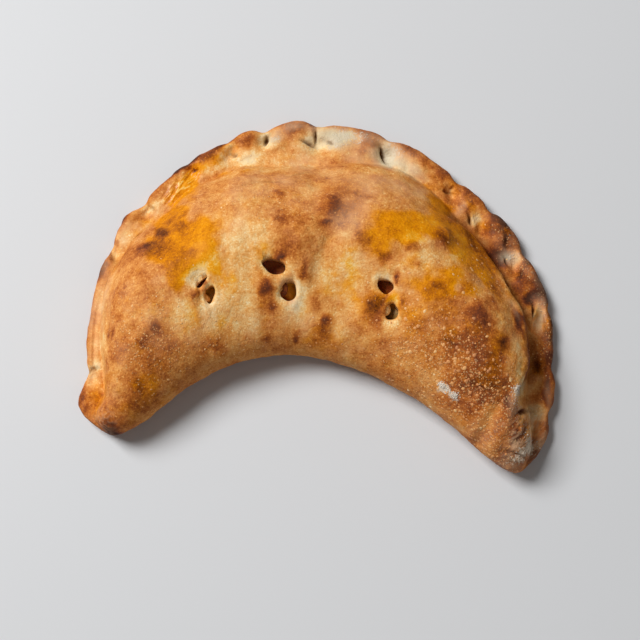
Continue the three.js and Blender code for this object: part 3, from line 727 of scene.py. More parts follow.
    0.3: [
        (-103.5, -46, 5.1, 1.5, -20), (-75, 91, 6.1, 2, 45), (-102.5, -44.5, 7, 3, -30), (-7.5, 30.5, 2.4, 3.4),
        (-11, 0, 2), (92, -60.5, 8, 5, -20), (-11.5, 114, 6.1, 3.1), (25, 109, 7.1, 3.6, -20),
        (-53.5, 101, 7.1, 3.1, 35),
    ],
    0.33: [(81, -22, 10.8, 9.8)],
    0.34: [(-79, 3, 3.9), (61, 48.5, 3.4, 4.9)],
    0.35: [(-63, 91, 1.5, 2.5)],
    0.36: [(-25.5, 23.5, 3.9), (-3, 113.5, 2, 3.6)],
    0.42: [(-78, 53.5, 4, 3.5)],
    0.44: [(98.5, 10, 2.5, 6, 15)],
    0.6: [(-68.5, 95.5, 8.2, 2.6, 35)],
    0.62: [(3.5, 6, 3.5, 4)],
}
print("browned ovals:", sum(map(len, BROWN.values())))

# %% Pale patches
# how much paler, and the ovals
PALE = {
    0.04: [(50, 91.5, 9.2, 4.6, -30)],
    0.05: [(-60, 9, 11.7, 5.9), (-9, 10, 4.9, 3.9), (-31.5, 70.5, 11.8, 4.9)],
    0.06: [
        (-79, 6.5, 2.4), (94, -13.5, 2.5, 7.8), (51.5, 73, 6, 4), (66, 41, 3.9), (-57.5, -2.5, 8.9, 4.9),
        (-9, 9.5, 5.9, 3.9), (-38, 53.5, 5.8), (-20, 104.5, 6.1, 4.1), (-9, 67.5, 4.9), (40, 97.5, 15.3, 4.6, -20),
        (-97.5, -24, 2.5, 6.9), (-60, -2.5, 3.9, 2.5), (-33, 21.5, 3.9), (17, 64.5, 4.9, 3.9, 30),
        (31, 68, 5.9, 3.9), (74, 13.5, 2.9, 3.9), (11, 87, 8, 2.5, -5), (50, 90, 7.1, 4.1, -25),
        (58, 83, 5.1, 4.1, -30),
    ],
    0.07: [(-52.5, 37.5, 4.9, 4.4), (50.5, 55, 4.9, 3.4)],
    0.08: [
        (-10, 17, 2.5, 2.9), (94.5, 51, 4.1, 3.1), (-85.5, 50, 3, 2), (-48.5, 94, 3.1), (-51.5, 46, 2.4, 4.4),
        (6, 109, 5.1, 4.1), (-38, 37.5, 6.8, 5.8), (104.5, -48.5, 5, 4), (-55.5, 46, 3.9, 5.8), (0, 48.5, 2.9, 5.8),
        (54, 71.5, 4, 5), (38.5, 68.5, 3.9, 5.9), (-40.5, 13, 6.9, 4.9), (-38, 23.5, 5.9), (-67, 9, 7.8, 5.9),
        (-37, 10, 5.9, 4.9), (71.5, 50.5, 5, 4), (94, -20.5, 3.4, 4.9), (-35.5, 19, 6.8, 4.9),
        (-24.5, 90, 20.2, 4, 8), (15.5, 17, 8.8, 12.8), (-12, 104.5, 7.1, 3.1), (38.5, 25.5, 2.4, 4.4, 20),
        (-58, 23.5, 5.1, 4.1), (-43, 70.5, 5.9), (26, 77.5, 5.9, 3, -10), (-22.5, 95, 6.1, 2.5),
    ],
    0.1: [
        (34.5, 98, 4.1, 5.1, -20), (-43, 15, 3.9, 2.9), (88, -57.5, 3, 2.5), (14, 111.5, 4.1, 2), (-54, 33.5, 2.4),
        (45.5, -3, 2.4, 2), (59.5, 57, 2.5, 2), (87, -57.5, 3.5, 2.5), (47.5, 46, 3.9), (-89, 60, 3.6, 2.5),
        (-111.5, -10.5, 4.1, 3.1), (-43, 15, 3.9, 2.4), (57, -1, 1.9, 2.9), (36, -0.5, 2.5, 2), (58.5, -24, 2),
        (81, -39, 2.5), (89.5, -44, 2, 2.5), (-55, 30, 2.9, 1.9), (44.5, 83.5, 5, 3, -20), (111.5, 20, 2.5, 4.1),
        (-22.5, 41, 2.9, 2.4), (-27.5, 28.5, 2.4, 4.9), (-58.5, 90, 3.1), (56, 46, 2.9, 3.9), (21.5, 48.5, 2.9),
        (-52.5, 35, 4.9, 3.9), (21, -12.5, 7, 3), (86, 63, 2.6, 2), (-13, 59.5, 4.9, 2.9), (-3.5, 68, 4.4, 2.9),
        (-45.5, 8, 12.8, 10.8), (-13.5, 7, 4.9, 7.9), (-9.5, 99.5, 25.4, 2.5), (-40.5, 35, 12.6, 14.6),
        (-59.5, 29, 5.8, 2.9, 35), (-26, 64.5, 6.8, 4.9), (-34.5, 111.5, 4.6, 3.1), (-41, 66.5, 6.9, 3.9),
        (-4, 75.5, 5.9), (-62.5, 16.5, 5.9), (-33.5, 6.5, 7.9, 6.9), (57, 1, 3.4), (55, 38.5, 3.9), (41, 86, 4, 3),
        (-38, 53, 7.8, 7.3), (-25.5, 38.5, 3.9, 5.8), (-86.5, 63.5, 5.1, 2.5, 40), (-51, 5, 5.9, 4.9),
        (11, 27, 6.9, 7.3, -30), (18, 35, 4.9, 5.9), (37.5, 2, 5.9, 3.4, 15), (14, 107.5, 7.1, 4.6),
        (97.5, 45.5, 5.1, 4.6), (105, -24.5, 4.5, 5), (87, 62.5, 4.1, 3.1, -30),
    ],
    0.12: [
        (43.5, 92.5, 4.1, 3.6, -20), (-21, 40, 3.9, 1.9, 20), (-3.5, 22, 2, 3.9), (-113.5, -11.5, 2.5),
        (108.5, -45, 2, 3.1), (100, -24.5, 2, 3.5), (-50, 96, 3.6, 5.1), (14, 108.5, 4.1, 3.1),
        (70, 31.5, 2.4, 3.9), (101.5, -20, 2.5, 4.5), (98.5, -36.5, 2.5, 2), (3.5, 111, 7.1, 4.1),
        (36.5, 103, 4.6, 4.6, -20), (117.5, 4.5, 1.5, 4.1), (1, 9, 3), (52, 29.5, 2.9), (42.5, 89.5, 4.1),
        (-89.5, -29, 3, 4), (-81.5, 68.5, 2, 3.1), (6, 24.5, 4.9, 5.9), (-52.5, 9, 6.9, 5.9), (49.5, 9, 4.9, 3.9),
        (-25, 30, 2.9, 3.9), (-45, 16.5, 7.8, 4.9), (-50.5, 35, 3.9, 4.9), (-27.5, 53, 5.8, 7.8),
        (16.5, 24.5, 5.9, 8.8, -20), (-90, 41, 3, 2.5), (-14.5, 111, 10.2, 3.1, 10), (-111, 22.5, 4.1, 7.1),
        (13, 42, 5.8, 6.8, 30), (-4, 17, 4.9), (34, 6, 3.9, 2.5, 20), (2, 103, 8.2, 3.1, 5),
        (28.5, 89, 7, 2.5, -10), (91.5, 47.5, 3.1, 4.1), (59, -8, 4.9, 4.4), (98.5, -27.5, 3, 6.9),
    ],
    0.13: [(13.5, 48, 3.9, 2.9)],
    0.14: [
        (-10, 17.5, 2.5, 3.4), (108, -44.5, 2.6, 3.6), (-1.5, 25, 2.4, 4.9), (-8.5, 18.5, 2.5),
        (39, 13.5, 1.5, 2.9), (109, -43.5, 4.1, 5.1), (117.5, 9.5, 2, 4.1), (-68, 81.5, 9.2, 4.1, 50),
        (70.5, 39, 3.5, 4.9), (-101.5, 52, 4.1, 6.1), (-44, 44.5, 6.8), (15.5, 51, 3.9), (-13.5, 9.5, 4.9, 3.9),
        (81, -37.5, 4.9, 3.9), (86.5, -55, 6, 4), (13.5, 35.5, 5.9), (3.5, 96.5, 20.4, 5.1),
        (23, 111, 10.2, 3.1, -10), (-106.5, 4.5, 2.5, 8, -5), (-54.5, 13, 3.4, 4.4), (13.5, 3, 7.9, 3.5),
        (43.5, 36.5, 3.9, 3.4), (39, 32, 3.9, 2.9), (36, 100.5, 7.2, 6.7, -20), (100, 21, 2, 7.1, 25),
    ],
    0.16: [
        (98, 29.5, 2, 4.1), (113.5, 13, 3.6, 8.2), (113, 12, 3.1, 7.2), (-51, 101, 3.1, 5.1),
        (50, 46.5, 6.8, 2.9, -10), (50, 30, 3.4, 2.9), (3, 10.5, 3.9, 3), (107.5, 38, 4.1), (-15.5, 14, 4.4, 2.5),
        (-39, 23.5, 6.8), (-29, 96.5, 16.3, 5.1, 8), (-112, 2, 4.1, 17.3, -2), (-98.5, 55, 4.6, 4.6, 30),
        (-107, -5, 3, 9, 5), (-47, 21.5, 3.9, 4.9), (-62.5, 9, 2, 5.9), (55.5, 34, 4.4, 3.4),
        (81.5, 17, 3.4, 5.9, 20), (91.5, -14, 2.4, 9.8, 4), (73, 71, 8.1, 2.5, 38), (101.5, 45, 2, 4.1),
    ],
    0.18: [(98.5, -19, 3, 6.9), (-67, 9, 4.9, 5.9), (89, 6, 2.9, 4.4)],
    0.2: [
        (35, 96, 3.1, 4.6), (98.5, -55, 4, 3), (82.5, 63, 3.6, 3.1), (-60, 30, 5.8, 2.4, 35), (-45.5, 15, 6.9, 3.9),
        (46, 47, 5.8, 3.9), (-111.5, -11, 2.5, 4.6, 20), (-53.5, 11, 3.9, 2.9), (-54, 23.5, 3.1, 4.1),
        (-10.5, 13.5, 6.9, 4.4), (-9, 22, 3.9), (37.5, 18, 3.1, 4.1), (50, 38, 5.4, 3.9), (109, -36, 4.1),
        (-55, 92.5, 4.6, 3.1, 30), (68.5, 79.5, 3.1), (98, -8, 2, 11.8, 4),
    ],
    0.22: [(2, 30.5, 3.4, 7.8, 15), (66.5, 37, 5.4, 4.4)],
    0.24: [(100, 43.5, 3.6), (-47, 101.5, 3.1, 4.6, -30), (41.5, 94.5, 5.1, 4.6, -10)],
    0.25: [(-9.5, 20.5, 2.9, 5.9)],
    0.26: [
        (-38, 9.5, 8.3, 5.9), (-85.5, 71.5, 5.6, 3.1, 30), (35, 27.5, 4.4, 2.4, 20), (68.5, 24.5, 4.4, 2.4, 25),
        (-6.5, 106, 7.1, 4.1, 20), (111.5, 14.5, 4.1, 10.2, 5),
    ],
    0.28: [(6, 108, 13.3, 6.1, -5)],
    0.3: [(-33.5, 40.5, 8.3, 9.7), (-27, 107.5, 4.6, 7.1)],
    0.36: [(-62, 27.5, 5.8, 3.9, 38), (-38, 98, 7.1, 4.1, 10)],
    0.4: [(81, 65.5, 4.1, 4.6)],
    0.5: [(109, -34, 5.6, 4.6, 20)],
}
print("pale ovals:", sum(map(len, PALE.values())))

# %% Oily and dusty patches
# how oily, and the ovals. Less than 0 keeps a dry place in the oil.
OIL = {
    -0.7: [(-60, 29.5, 4.9, 2.9, 35)],
    -0.5: [(67.5, 22.5, 3.4, 2.4)],
    -0.4: [(48, 28.5, 3.9, 4.9)],
    -0.3: [(-91.5, 60.5, 3.6, 2.5), (67.5, 22.5, 2.9, 1.9)],
    0.15: [(-6.5, 33.5, 2.9, 2.4), (15.5, 37, 4.9), (-62, 11.5, 3.9), (21.5, 31.5, 3.9, 6.8)],
    0.2: [
        (-17.5, 30.5, 2, 4.1), (-47, 6.5, 2.9), (42.5, 14, 2.9), (65.5, 47.5, 4, 3), (-85, 48.5, 3.5, 2.5),
        (3.5, 23, 5.9, 3.4), (-62.5, 41, 4.4), (-47, 9, 2.9), (-60, -3.5, 3.9), (62, -3.5, 3.4, 2.9),
        (90, -3, 2, 3.9), (92, 13, 3.5), (45.5, 54, 5.9, 3.9), (78, -20.5, 5.9), (-27.5, 37.5, 3.4, 3.9),
        (63, -2.5, 4.9), (83, -20.5, 5.9, 7.8), (14.5, 35.5, 2.9, 9.8), (45.5, 7.5, 5.9, 4.9), (59, -3.5, 5.9),
        (6, 3, 6.9, 4), (-47, 34.5, 3.9, 4.9), (-14.5, 41, 3.9, 5.8), (-57.5, -4.5, 9.9, 3.9), (15.5, 19.5, 3.9),
        (92.5, 19, 4, 5),
    ],
    0.25: [
        (60, 59.5, 4.5, 3), (2, 23, 4.9, 2.9), (48.5, 2.5, 4.9, 2.9), (16.5, 41, 3.4, 2.4), (45.5, 2.5, 5.9, 4.9),
        (-27.5, 40, 2.9, 4.9), (83, -22, 6.8, 5.9), (42, 34.5, 6.8, 5.8), (-43, 28.5, 4.9),
        (-37.5, 89.5, 7.1, 2, 8), (-84, -0.5, 3.9), (78.5, -6, 7.8, 9.7), (71, -25, 6.9), (96, 62, 5.1, 4.1, -40),
    ],
    0.3: [
        (-25.5, 43.5, 2, 3.1), (118, 18.5, 2, 5.1), (-51, 105, 4.6, 2.6, 25), (-84, 50, 4.5, 3), (-62, 14, 3.4),
        (75.5, 53.5, 5, 4.5), (116.5, 16.5, 2, 6.1), (-77.5, 54.5, 3, 2.5), (93.5, 60.5, 4.6, 3.6),
        (-67.5, 55, 3.9), (83.5, 45.5, 4.5), (103, 34.5, 3.6), (64, 8.5, 5.8, 4.9), (-47, 8, 3.9),
        (79, 58.5, 5.1, 4.1), (59.5, 27.5, 4.9, 3.9), (29.5, 16, 4.9, 3.9), (118, 15, 2.5, 10.2), (-87, -25.5, 4),
        (47, 23.5, 4.9, 3.9), (50, 48.5, 5.9, 3.9), (59.5, 64.5, 5, 3), (69, 42.5, 5.9, 6.9), (-50, 32, 3.9, 2.9),
        (-66, 23.5, 2.9, 3.9), (26.5, 41, 5.8, 6.8), (-45, 103, 6.1, 4.1, 30), (-17.5, 26.5, 2.9, 3.9),
        (-25.5, 17, 3.4, 6.9), (-105.5, -22.5, 4, 5), (-93, -36, 6, 4), (3.5, -1, 11.9, 4), (-7.5, 30.5, 2.9, 3.9),
        (40, 21, 3.9), (76, 3.5, 6.8), (116.5, 7, 2.5, 10.2), (103.5, 36, 4.1),
    ],
    0.35: [
        (66.5, 57.5, 4.5, 4), (-42, 24, 5.9), (-64, 7.5, 5.9), (13.5, 27, 7.8, 8.8), (-55.5, 22, 5.9, 3.4),
        (-24.5, 40, 4.1), (3.5, 5.5, 4.9), (63, 10, 6.8, 3.9), (45.5, 10, 5.8, 3.9), (98.5, 20.5, 4, 6, 30),
        (86, 61, 6.1, 2, -30),
    ],
    0.4: [
        (-66.5, 39, 3.9), (-50.5, 54, 3.9, 6.8), (-50, 32, 3.9, 5.8), (25.5, 45.5, 4.9), (45, 42.5, 4.9, 3.9),
        (68, 45, 5.9, 4.9), (71.5, 34.5, 4.9, 3.9), (-65, 73, 4), (-67, 28.5, 5.8, 6.8), (71.5, 50.5, 6, 5),
        (64.5, 23.5, 5.8, 3.9), (23.5, 48, 4.9, 3.9), (116.5, 9.5, 2, 12.2), (-79.5, 57, 5, 4.5),
        (-49.5, 88, 5.1, 2, 25), (-81, -11.5, 5.9, 4.9), (21.5, 10, 4.9, 3.9), (39, 15.5, 4.9, 3.9),
        (71, 81, 5.1, 4.1, -30), (49.5, 30.5, 4.9, 3.9), (103.5, -18.5, 3.5, 4.5),
    ],
    0.5: [
        (61.5, 65.5, 6), (81.5, 42, 5, 7, 20), (-68, 80.5, 9.2, 5.1, 50), (43.5, 45, 3.9, 2.9), (35, 17, 4.9, 2),
        (-51, 39.5, 4.9, 5.3), (-92.5, 61.5, 5.1, 4.1, 30), (-80.5, 61.5, 5), (-111.5, -28.5, 4.1, 7.1),
        (40, 48.5, 6.8, 4.4), (58, 80.5, 5.1, 4.1, -20), (86.5, 26, 3.5, 7.9, 25), (45, 48, 5.8, 4.9),
        (53.5, 16, 7.8, 3.9), (84, -18, 4.9, 7.8), (106, 22.5, 2.5, 7.1, 10), (103, -3.5, 3, 9), (96, 54, 2, 4.6),
        (100.5, -45.5, 3, 4.5, -30),
    ],
    0.55: [(-53.5, 96.5, 6.1, 4.1, 30), (74, 21.5, 4.9), (88, -6, 4.4, 7.8, 10)],
    0.6: [
        (-62.5, 43.5, 10.7, 9.7), (-83, -25.5, 6.9, 7.9), (26.5, 17, 6.9, 5.9), (78.5, 72.5, 5.1, 2.5, -35),
        (109.5, 16.5, 1.5, 4.1), (90, 38, 4, 6.1, 40),
    ],
    0.65: [(-81.5, 41.5, 4.9, 5.9)],
    0.7: [
        (-69, 26, 4.4, 4.9), (-56.5, 52.5, 3.9, 5.9), (31.5, 40.5, 4.4, 4.9), (60.5, 52.5, 6.9, 5.9),
        (111, -12.5, 4.1, 5.1),
    ],
    0.75: [(-75.5, 75, 4.6)],
    0.8: [
        (76.5, 44.5, 9, 7, -40), (83.5, 31.5, 4.5, 7.9, 22), (-62.5, 34, 6.8, 5.8), (-70, 83, 9.2, 4.6, 50),
        (33, 50, 6.8, 5.8), (65.5, 30.5, 7.8, 3.4, -15),
    ],
    0.85: [(-62.5, 91.5, 7.1, 3.6, 35)],
    0.9: [
        (-72, 65.5, 6, 5), (-73.5, 41.5, 6.4), (-73, 59, 6, 7), (-69, 34, 6.8, 5.8), (-61.5, 39, 6.8),
        (62, 70, 8.1, 4, -20),
    ],
    0.95: [(80, 39, 6.5, 10, 25), (57.5, 22.5, 12.6, 4.9, -5)],
    1: [(72.5, 51, 10, 7, -40)],
    1.1: [(-67, 46.5, 14.7, 10.3), (50.5, 56, 23.5, 5.4, -3)],
}
# how dusty, as with a film of flour, and the ovals
DUST = {
    0.1: [(92.5, 64.5, 5.1, 4.1, -30), (108.5, 39.5, 4.1, 13.2, 38)],
    0.15: [(93.5, 55, 8.1, 6.1, -40), (106, 42.5, 5.1, 10.2, 30), (101, 51.5, 14.2, 4.6, -60)],
    0.2: [
        (15.5, 52, 5.8, 4.9), (-36, 67.5, 2.4, 2), (98.5, 43.5, 5.1, 8.2, 20), (-107, 21, 8.1, 15.1),
        (-103, -45.5, 6.1, 2.5, -30), (-67.5, -5, 14.8, 6.9),
    ],
    0.25: [(37.5, 93.5, 7.1, 4.1, -20), (-38, 7.5, 9.8, 5.9), (21.5, 59, 6.8, 7.8), (11, 59, 5.9, 4.4)],
    0.3: [
        (86, -43.5, 4.4, 6.9), (-96.5, 60, 5.1, 2.5, 20), (-84, 67, 3.6), (40, 98.5, 8.2, 4.1, -25),
        (99.5, 43, 3.1), (6, 110, 7.1, 4.1), (-24, 111, 5.1, 3.1), (21, 70.5, 10.8, 9.8, -10),
        (112, 18.5, 2.5, 6.1), (-100.5, 60.5, 7.1, 3.1, 30), (-84, 69, 4.1), (66.5, 23.5, 3.9, 2.9),
        (-81.5, 9, 6.8, 5.9), (-9, 67.5, 9.8, 6.9), (79.5, -50, 10, 5, -35), (-102.5, 51, 4.1, 5.1),
        (-100.5, 55, 4.1, 6.1), (-92, 19.5, 4.9, 6.9), (16, 64.5, 6.8, 5.9), (14, 109.5, 6.1, 3.1),
        (119, 12.5, 1.5, 11.2, -5), (115.5, 28, 3.1, 8.2, 30), (117.5, 12.5, 2.5, 11.2), (-97.5, -8.5, 4.9, 6.9),
        (60.5, -39.5, 15.1, 4, -38), (-55, 9.5, 6.9, 5.9), (103.5, -23.5, 4),
    ],
    0.35: [(113, 16.5, 3.1, 7.1), (-38.5, 58.5, 6.8, 10.7), (-67, 9, 11.7, 6.8), (-9, 9.5, 8.9, 4.9)],
    0.4: [
        (14, 109.5, 5.1, 4.1), (83.5, 66, 4.1), (98.5, -55, 5, 4), (-9.5, 93, 16.2, 6.1), (-115, -8.5, 3.1, 12.2),
        (113.5, 11.5, 4.1, 10.2), (-109, 39.5, 4.1, 5.1), (96.5, 45, 4.6, 4.1), (-115.5, 9.5, 2, 7.1),
        (-9.5, 94, 10.2, 4.1), (-39, 72.5, 4.9, 3.9), (35, 102, 7.2, 4.6),
    ],
    0.45: [(-21.5, 81, 19.9, 5, -5)],
    0.5: [
        (40, 101.5, 9.2, 7.1, -20), (47.5, 93.5, 6.1, 3.1, -25), (20.5, 102, 12.2, 7.1, -15),
        (-112, 17.5, 4.1, 21.4, -5), (-1.5, 114.5, 20.4, 2), (24.5, 96.5, 9.2, 2.5, -10), (-28, 72.5, 5.9, 4.4),
        (23.5, 80.5, 22.3, 7, -8), (-20, 111, 5.1, 3.1, 20), (42.5, 102.5, 10.2, 3.6, -28),
        (115, -28.5, 2, 10.2, 5), (93, -64, 8.1, 4.1, -15),
    ],
    0.55: [(44, 77.5, 13, 6, -25)],
    0.6: [
        (-45, 99.5, 4.6, 4.1), (37.5, 103, 5.1, 3.1, -20), (-15.5, 24.5, 3.1, 2.6), (-12, 115.5, 6.1, 3.1, 20),
        (29.5, 107.5, 10.2, 3.1, -20), (98.5, -55, 10, 6.5, 35), (97.5, 15.5, 2, 4.5, 20), (94.5, 58, 2, 2.5),
        (73, 71, 7.1, 2, 38),
    ],
    0.7: [(94, -32, 2.5, 6.9)],
    0.8: [(-13.5, 24, 3.1)],
    0.9: [(108.5, -48.5, 5.1)],
    1: [(97, -25, 2, 3)],
}
print("oily ovals:", sum(map(len, OIL.values())), "and dusty ones:", sum(map(len, DUST.values())))

# %% Flour, raw hollows and bubbly places
# x, y, half length, half width, turn, how floury
FLOUR = [
    (60, -25, 3.4, 1.9, -25, 1.3), (66, -29.5, 2.4, 2.2, 0, 1.2), (62.5, -27, 2.2, 1.4, -30, 0.8),
    (96.5, -27, 3.5, 3, 0, 0.75), (96, -34, 2.5, 5, 0, 0.45), (17, 110.5, 14, 4.5, -8, 0.46),
    (104, -52, 3, 5, 20, 0.5), (36.5, 98, 7, 5, -20, 0.6), (40, 103, 8, 5, -25, 0.44), (101, -56, 7, 3, 35, 0.5),
    (97, 58, 9, 3, -50, 0.2), (109, 38, 12, 4, -65, 0.28), (114.5, 16, 12, 4, -85, 0.3), (102, -44, 7, 8, 0, 0.36),
    (97, -60, 7, 4, 35, 0.36), (86, -48, 10, 6, 35, 0.3), (8, 106.5, 11, 5, 0, 0.5), (-22, 108.5, 4, 3, 0, 0.6),
    (-36, 97, 5, 4, 0, 0.45), (81, 65.5, 4, 4, 0, 0.45), (98, 45.5, 4.5, 4, 0, 0.45), (72, 71, 7, 2, 38, 0.4),
]
# the same, for hollows where the dough stayed damp and raw
RAW = [
    (8, 109, 12, 5.5, -5, 0.7), (35.5, 99, 7.5, 6.5, -25, 0.7), (46, 92, 9, 4, -30, 0.4), (-24, 109, 5, 3, 0, 0.5),
    (14, 54, 8, 8, 0, 0.15), (-11.5, 16, 4, 3, 45, 0.5), (112, 14, 3.5, 8, 5, 0.3), (99, 44.5, 4, 3.5, -60, 0.4),
    (95.5, 47, 3, 3, 0, 0.25), (108, -37, 5, 5, 0, 0.2),
]
# x, y, half length, half width, turn, how thickly the tiny bubbles stand
BUBBLY = [
    (70, -18, 33, 16, -35, 1), (90, -60, 10, 6, -20, 0.8), (87, -44, 12, 18, 25, 0.7), (-84, -2, 18, 22, 0, 0.6),
    (-50, 0, 24, 12, 5, 0.4), (12, 2, 24, 8, -5, 0.15), (-24, 66, 20, 12, 0, 0.3), (76, 30, 14, 16, 0, 0.2),
    (104, 44, 6, 16, 35, 1), (114, 4, 6, 16, 0, 0.9), (90.5, -3, 5, 5, 0, -1), (43, -6.5, 8, 6, -20, 0.7),
]
# the same, for the thin lip beside the first vent, browned through
BROWNED_LIP = [(-60.4, 19.2, 5, 1.5, 40, 0.74), (-55.6, 23.7, 3.6, 1.4, 60, 0.7)]
print(len(FLOUR), "floury places,", len(RAW), "raw ones and", len(BUBBLY), "more or less bubbly ones")

# %% Work out one value a vertex for each mask
PLAIN_BAKE, UNDER_BAKE, PALEST_DOME = 0.47, 0.62, 0.17  # 0 is raw dough and 1 is burnt
AROUND_PINCH, AROUND_VENT = 0.22, 0.2  # how much paler the dough is there


def grouped(points, groups, power):
    """The sum of patches that are grouped by strength."""
    return sum(strength * patch(points, *oval, power=power) for strength, ovals in groups.items() for oval in ovals)


points, normals = places_and_normals(skin)
wandering = uneven(points, 2.0, 7)
broad = uneven(points, 4, 22)
top = ease(-0.3, 0.3, normals[:, 2])
pinched = sum(bell(np.hypot(arc_between(bearing, p[0]), inset - p[1]), p[3] * 0.95) for p in PINCHES)
vent_rim = sum(bell(vent_reach(wandering, hole, n) - 1.1, 0.5) for n, hole in enumerate(HOLES))
bake = PLAIN_BAKE + 1.1 * grouped(wandering, BROWN, 1.6) - grouped(wandering, PALE, 1.4)
bake = np.maximum(bake, PALEST_DOME * ease(18, 26, inset))  # the dome is golden even where it is palest
bake -= AROUND_PINCH * np.minimum(pinched, 1)
bake -= AROUND_VENT * np.minimum(vent_rim, 1) * ease(-1.0, 0, noise_at(points, 6, 31))
bake += 0.25 * patches(points, VENT_SIDES)  # what stands proud of a vent browns first
bake = np.maximum(bake, patches(points, BROWNED_LIP, 1.6))
bake += 0.12 * ease(6, 0, inset) * (1 - np.minimum(pinched, 1))  # so does the thin edge
bake += 0.12 * ease(60, 130, points[:, 0]) * ease(22, 8, inset)  # and the rim at the right, partly browning and partly painted shade on the side away from the lamp
bake += 0.1 * noise_at(points, 18, 7) + 0.08 * noise_at(points, 7, 8)
bake -= 0.5 * crinkled * ease(0.65, 0.95, crinkles)
bake += 0.26 * hanging * ease(0.5, 0.7, share) * bell(away + 0.6, 0.9)  # the overhanging dough has a dark edge, partly browning and partly painted shade under the overhang
underneath = ease(0.1, -0.7, normals[:, 2])
dusty = grouped(broad, DUST, 1.5) + 1.3 * wrinkled * ease(0.3, 0.9, wrinkles)
skin_masks = {
    "bake": mix(bake, UNDER_BAKE + 0.14 * noise_at(points, 14, 9, 4), underneath),
    "oil": np.clip(grouped(broad * 0.5 + wandering * 0.5, OIL, 1.5), 0, 1.1) * top,
    "dust": np.clip(dusty, 0, 1.5) * top + 0.35 * underneath,
    "flour": patches(wandering, FLOUR) * top,
    "bubbly": np.clip(patches(broad, BUBBLY), 0, 1) * ease(-0.5, 0, normals[:, 2]),
    # painted shade: the creases and the valley at the right are darkened in the colour
    "crease": np.clip(creased / 1.8, 0, 1) * top,
    "valley": valley * top,
    "wet": crinkled * top,
    "raw": np.clip(patches(wandering, RAW, 1.5), 0, 1) * top,
}
for name, values in skin_masks.items():
    print(f"{name:8} {float(np.min(values)):6.2f} to {float(np.max(values)):5.2f}")

# %% Carry the masks over to the cut crust
SKIN_DEEP = 0.15  # what lies deeper than this was cut, and shows the white crumb
baked_places = millimetres(baked)
skin.verts.ensure_lookup_table()
skin.faces.ensure_lookup_table()
sources = np.empty(len(baked_places), int)
depths = np.empty(len(baked_places))
for number, place in enumerate(baked_places):
    at, _, face, depth = skin_tree.find_nearest(Vector(place))
    sources[number] = min(skin.faces[face].verts, key=lambda v: (v.co - at).length_squared).index
    depths[number] = depth
masks = {name: values[sources] for name, values in skin_masks.items()}
masks["crumb"] = ease(SKIN_DEEP, 1.2, depths) * (0.6 - 0.5 * patch(baked_places, -54.5, 21, 6, power=2))
for name, values in masks.items():
    keep_values(baked, name, values)
print(int((depths > SKIN_DEEP).sum()), "vertices lie inside the crust")

# %% [markdown]
# ## Tiny bubbles and flour
# Dough that proved slowly comes out of the oven with pinhead bubbles all over it, most of them toward one end here.
# They could be painted, but real little domes catch the light. Each one is a ball of few faces, flattened and sunk
# into the skin so that only a low cap shows. A seeded die chooses where they stand, more often where the dough is
# bubbly, and only one is kept in each small cube of space, so that they don't run together. Grains of flour are made
# in the same way, in a few small heaps.
# %% A bubble for each throw of the die
THROWS, APART, SMALLEST, LARGEST = 1400, 2.0, 0.38, 1.3  # how many throws, and lengths in millimetres
FLATNESS, SUNK = 0.34, 0.62  # a bubble's height by its width, and how much of it lies in the skin
BALL_SEGMENTS, BALL_RINGS = 7, 4
dice = np.random.default_rng(12)


def scatter(name, places, upwards, radii, flatness, stretch):
    """An object of flattened balls of few faces, each standing along its own upward direction."""
    first = bmesh.new()
    bmesh.ops.create_uvsphere(first, u_segments=BALL_SEGMENTS, v_segments=BALL_RINGS, radius=1)
    ball = bpy.data.meshes.new("ball")
    first.to_mesh(ball)
    first.free()
    bm = bmesh.new()
    bm.from_mesh(ball)
    each, made = len(bm.verts), 1
    while made < len(places):
        more = min(made, len(places) - made)
        some = list(bm.verts)[: more * each]
        known = set(some)
        parts = [part for kind in (bm.edges, bm.faces) for part in kind if part.verts[0] in known]
        bmesh.ops.duplicate(bm, geom=some + parts)
        made += more
    ball = places_and_normals(bm)[0].reshape(made, -1, 3)
    ball = ball * np.stack([radii * stretch, radii / stretch, radii * flatness], 1)[:, None]
    across = np.cross(upwards, np.random.default_rng(5).standard_normal((made, 3)))
    across /= np.linalg.norm(across, axis=1)[:, None]
    axes = np.stack([across, np.cross(upwards, across), upwards], 1)
    reshape(bm, (np.einsum("nvk,nkc->nvc", ball, axes) + places[:, None]).reshape(-1, 3))
    bmesh.ops.recalc_face_normals(bm, faces=bm.faces)
    return make_object(name, bm)


ground = np.array([sum(f.calc_area() for f in v.link_faces) for v in skin.verts])
ground = ground * ease(1.5, 4, points[:, 2])  # none on the foot of the crust
in_a_vent = np.min([vent_reach(points, hole, n) for n, hole in enumerate(HOLES)], axis=0) < 1.4
chance = skin_masks["bubbly"] * ground * ~in_a_vent * (1 - 0.8 * wrinkled)
thrown = dice.choice(len(points), THROWS, p=chance / chance.sum())
spots = points[thrown] + 0.9 * dice.standard_normal((THROWS, 3))
_, apart = np.unique(np.floor(spots / APART), axis=0, return_index=True)  # at most one bubble in each small cube
chosen, count = thrown[apart], len(apart)
landed = np.array([skin_tree.find_nearest(Vector(spot))[:2] for spot in spots[apart]])
radii = SMALLEST + (LARGEST - SMALLEST) * dice.random(count) ** 2.2
radii *= mix(0.6, 1, ease(0, 45, points[chosen, 0]))  # smaller ones at the left
radii *= mix(0.45, 1, ease(10, 24, inset[chosen]))  # and on the rim
stretch = 1 + 0.25 * dice.random(count)
sunk = landed[:, 0] - landed[:, 1] * (SUNK * FLATNESS * radii)[:, None]  # only the low top of each ball shows
little_bubbles = scatter("little_bubbles", sunk, landed[:, 1], radii, FLATNESS, stretch)
each = len(little_bubbles.data.vertices) // count
bubble_bake = np.repeat(skin_masks["bake"][chosen] + 0.16 * dice.standard_normal(count), each)
keep_values(little_bubbles, "bake", bubble_bake)
print(count, "bubbles of", len(little_bubbles.data.polygons) // count, "faces each")

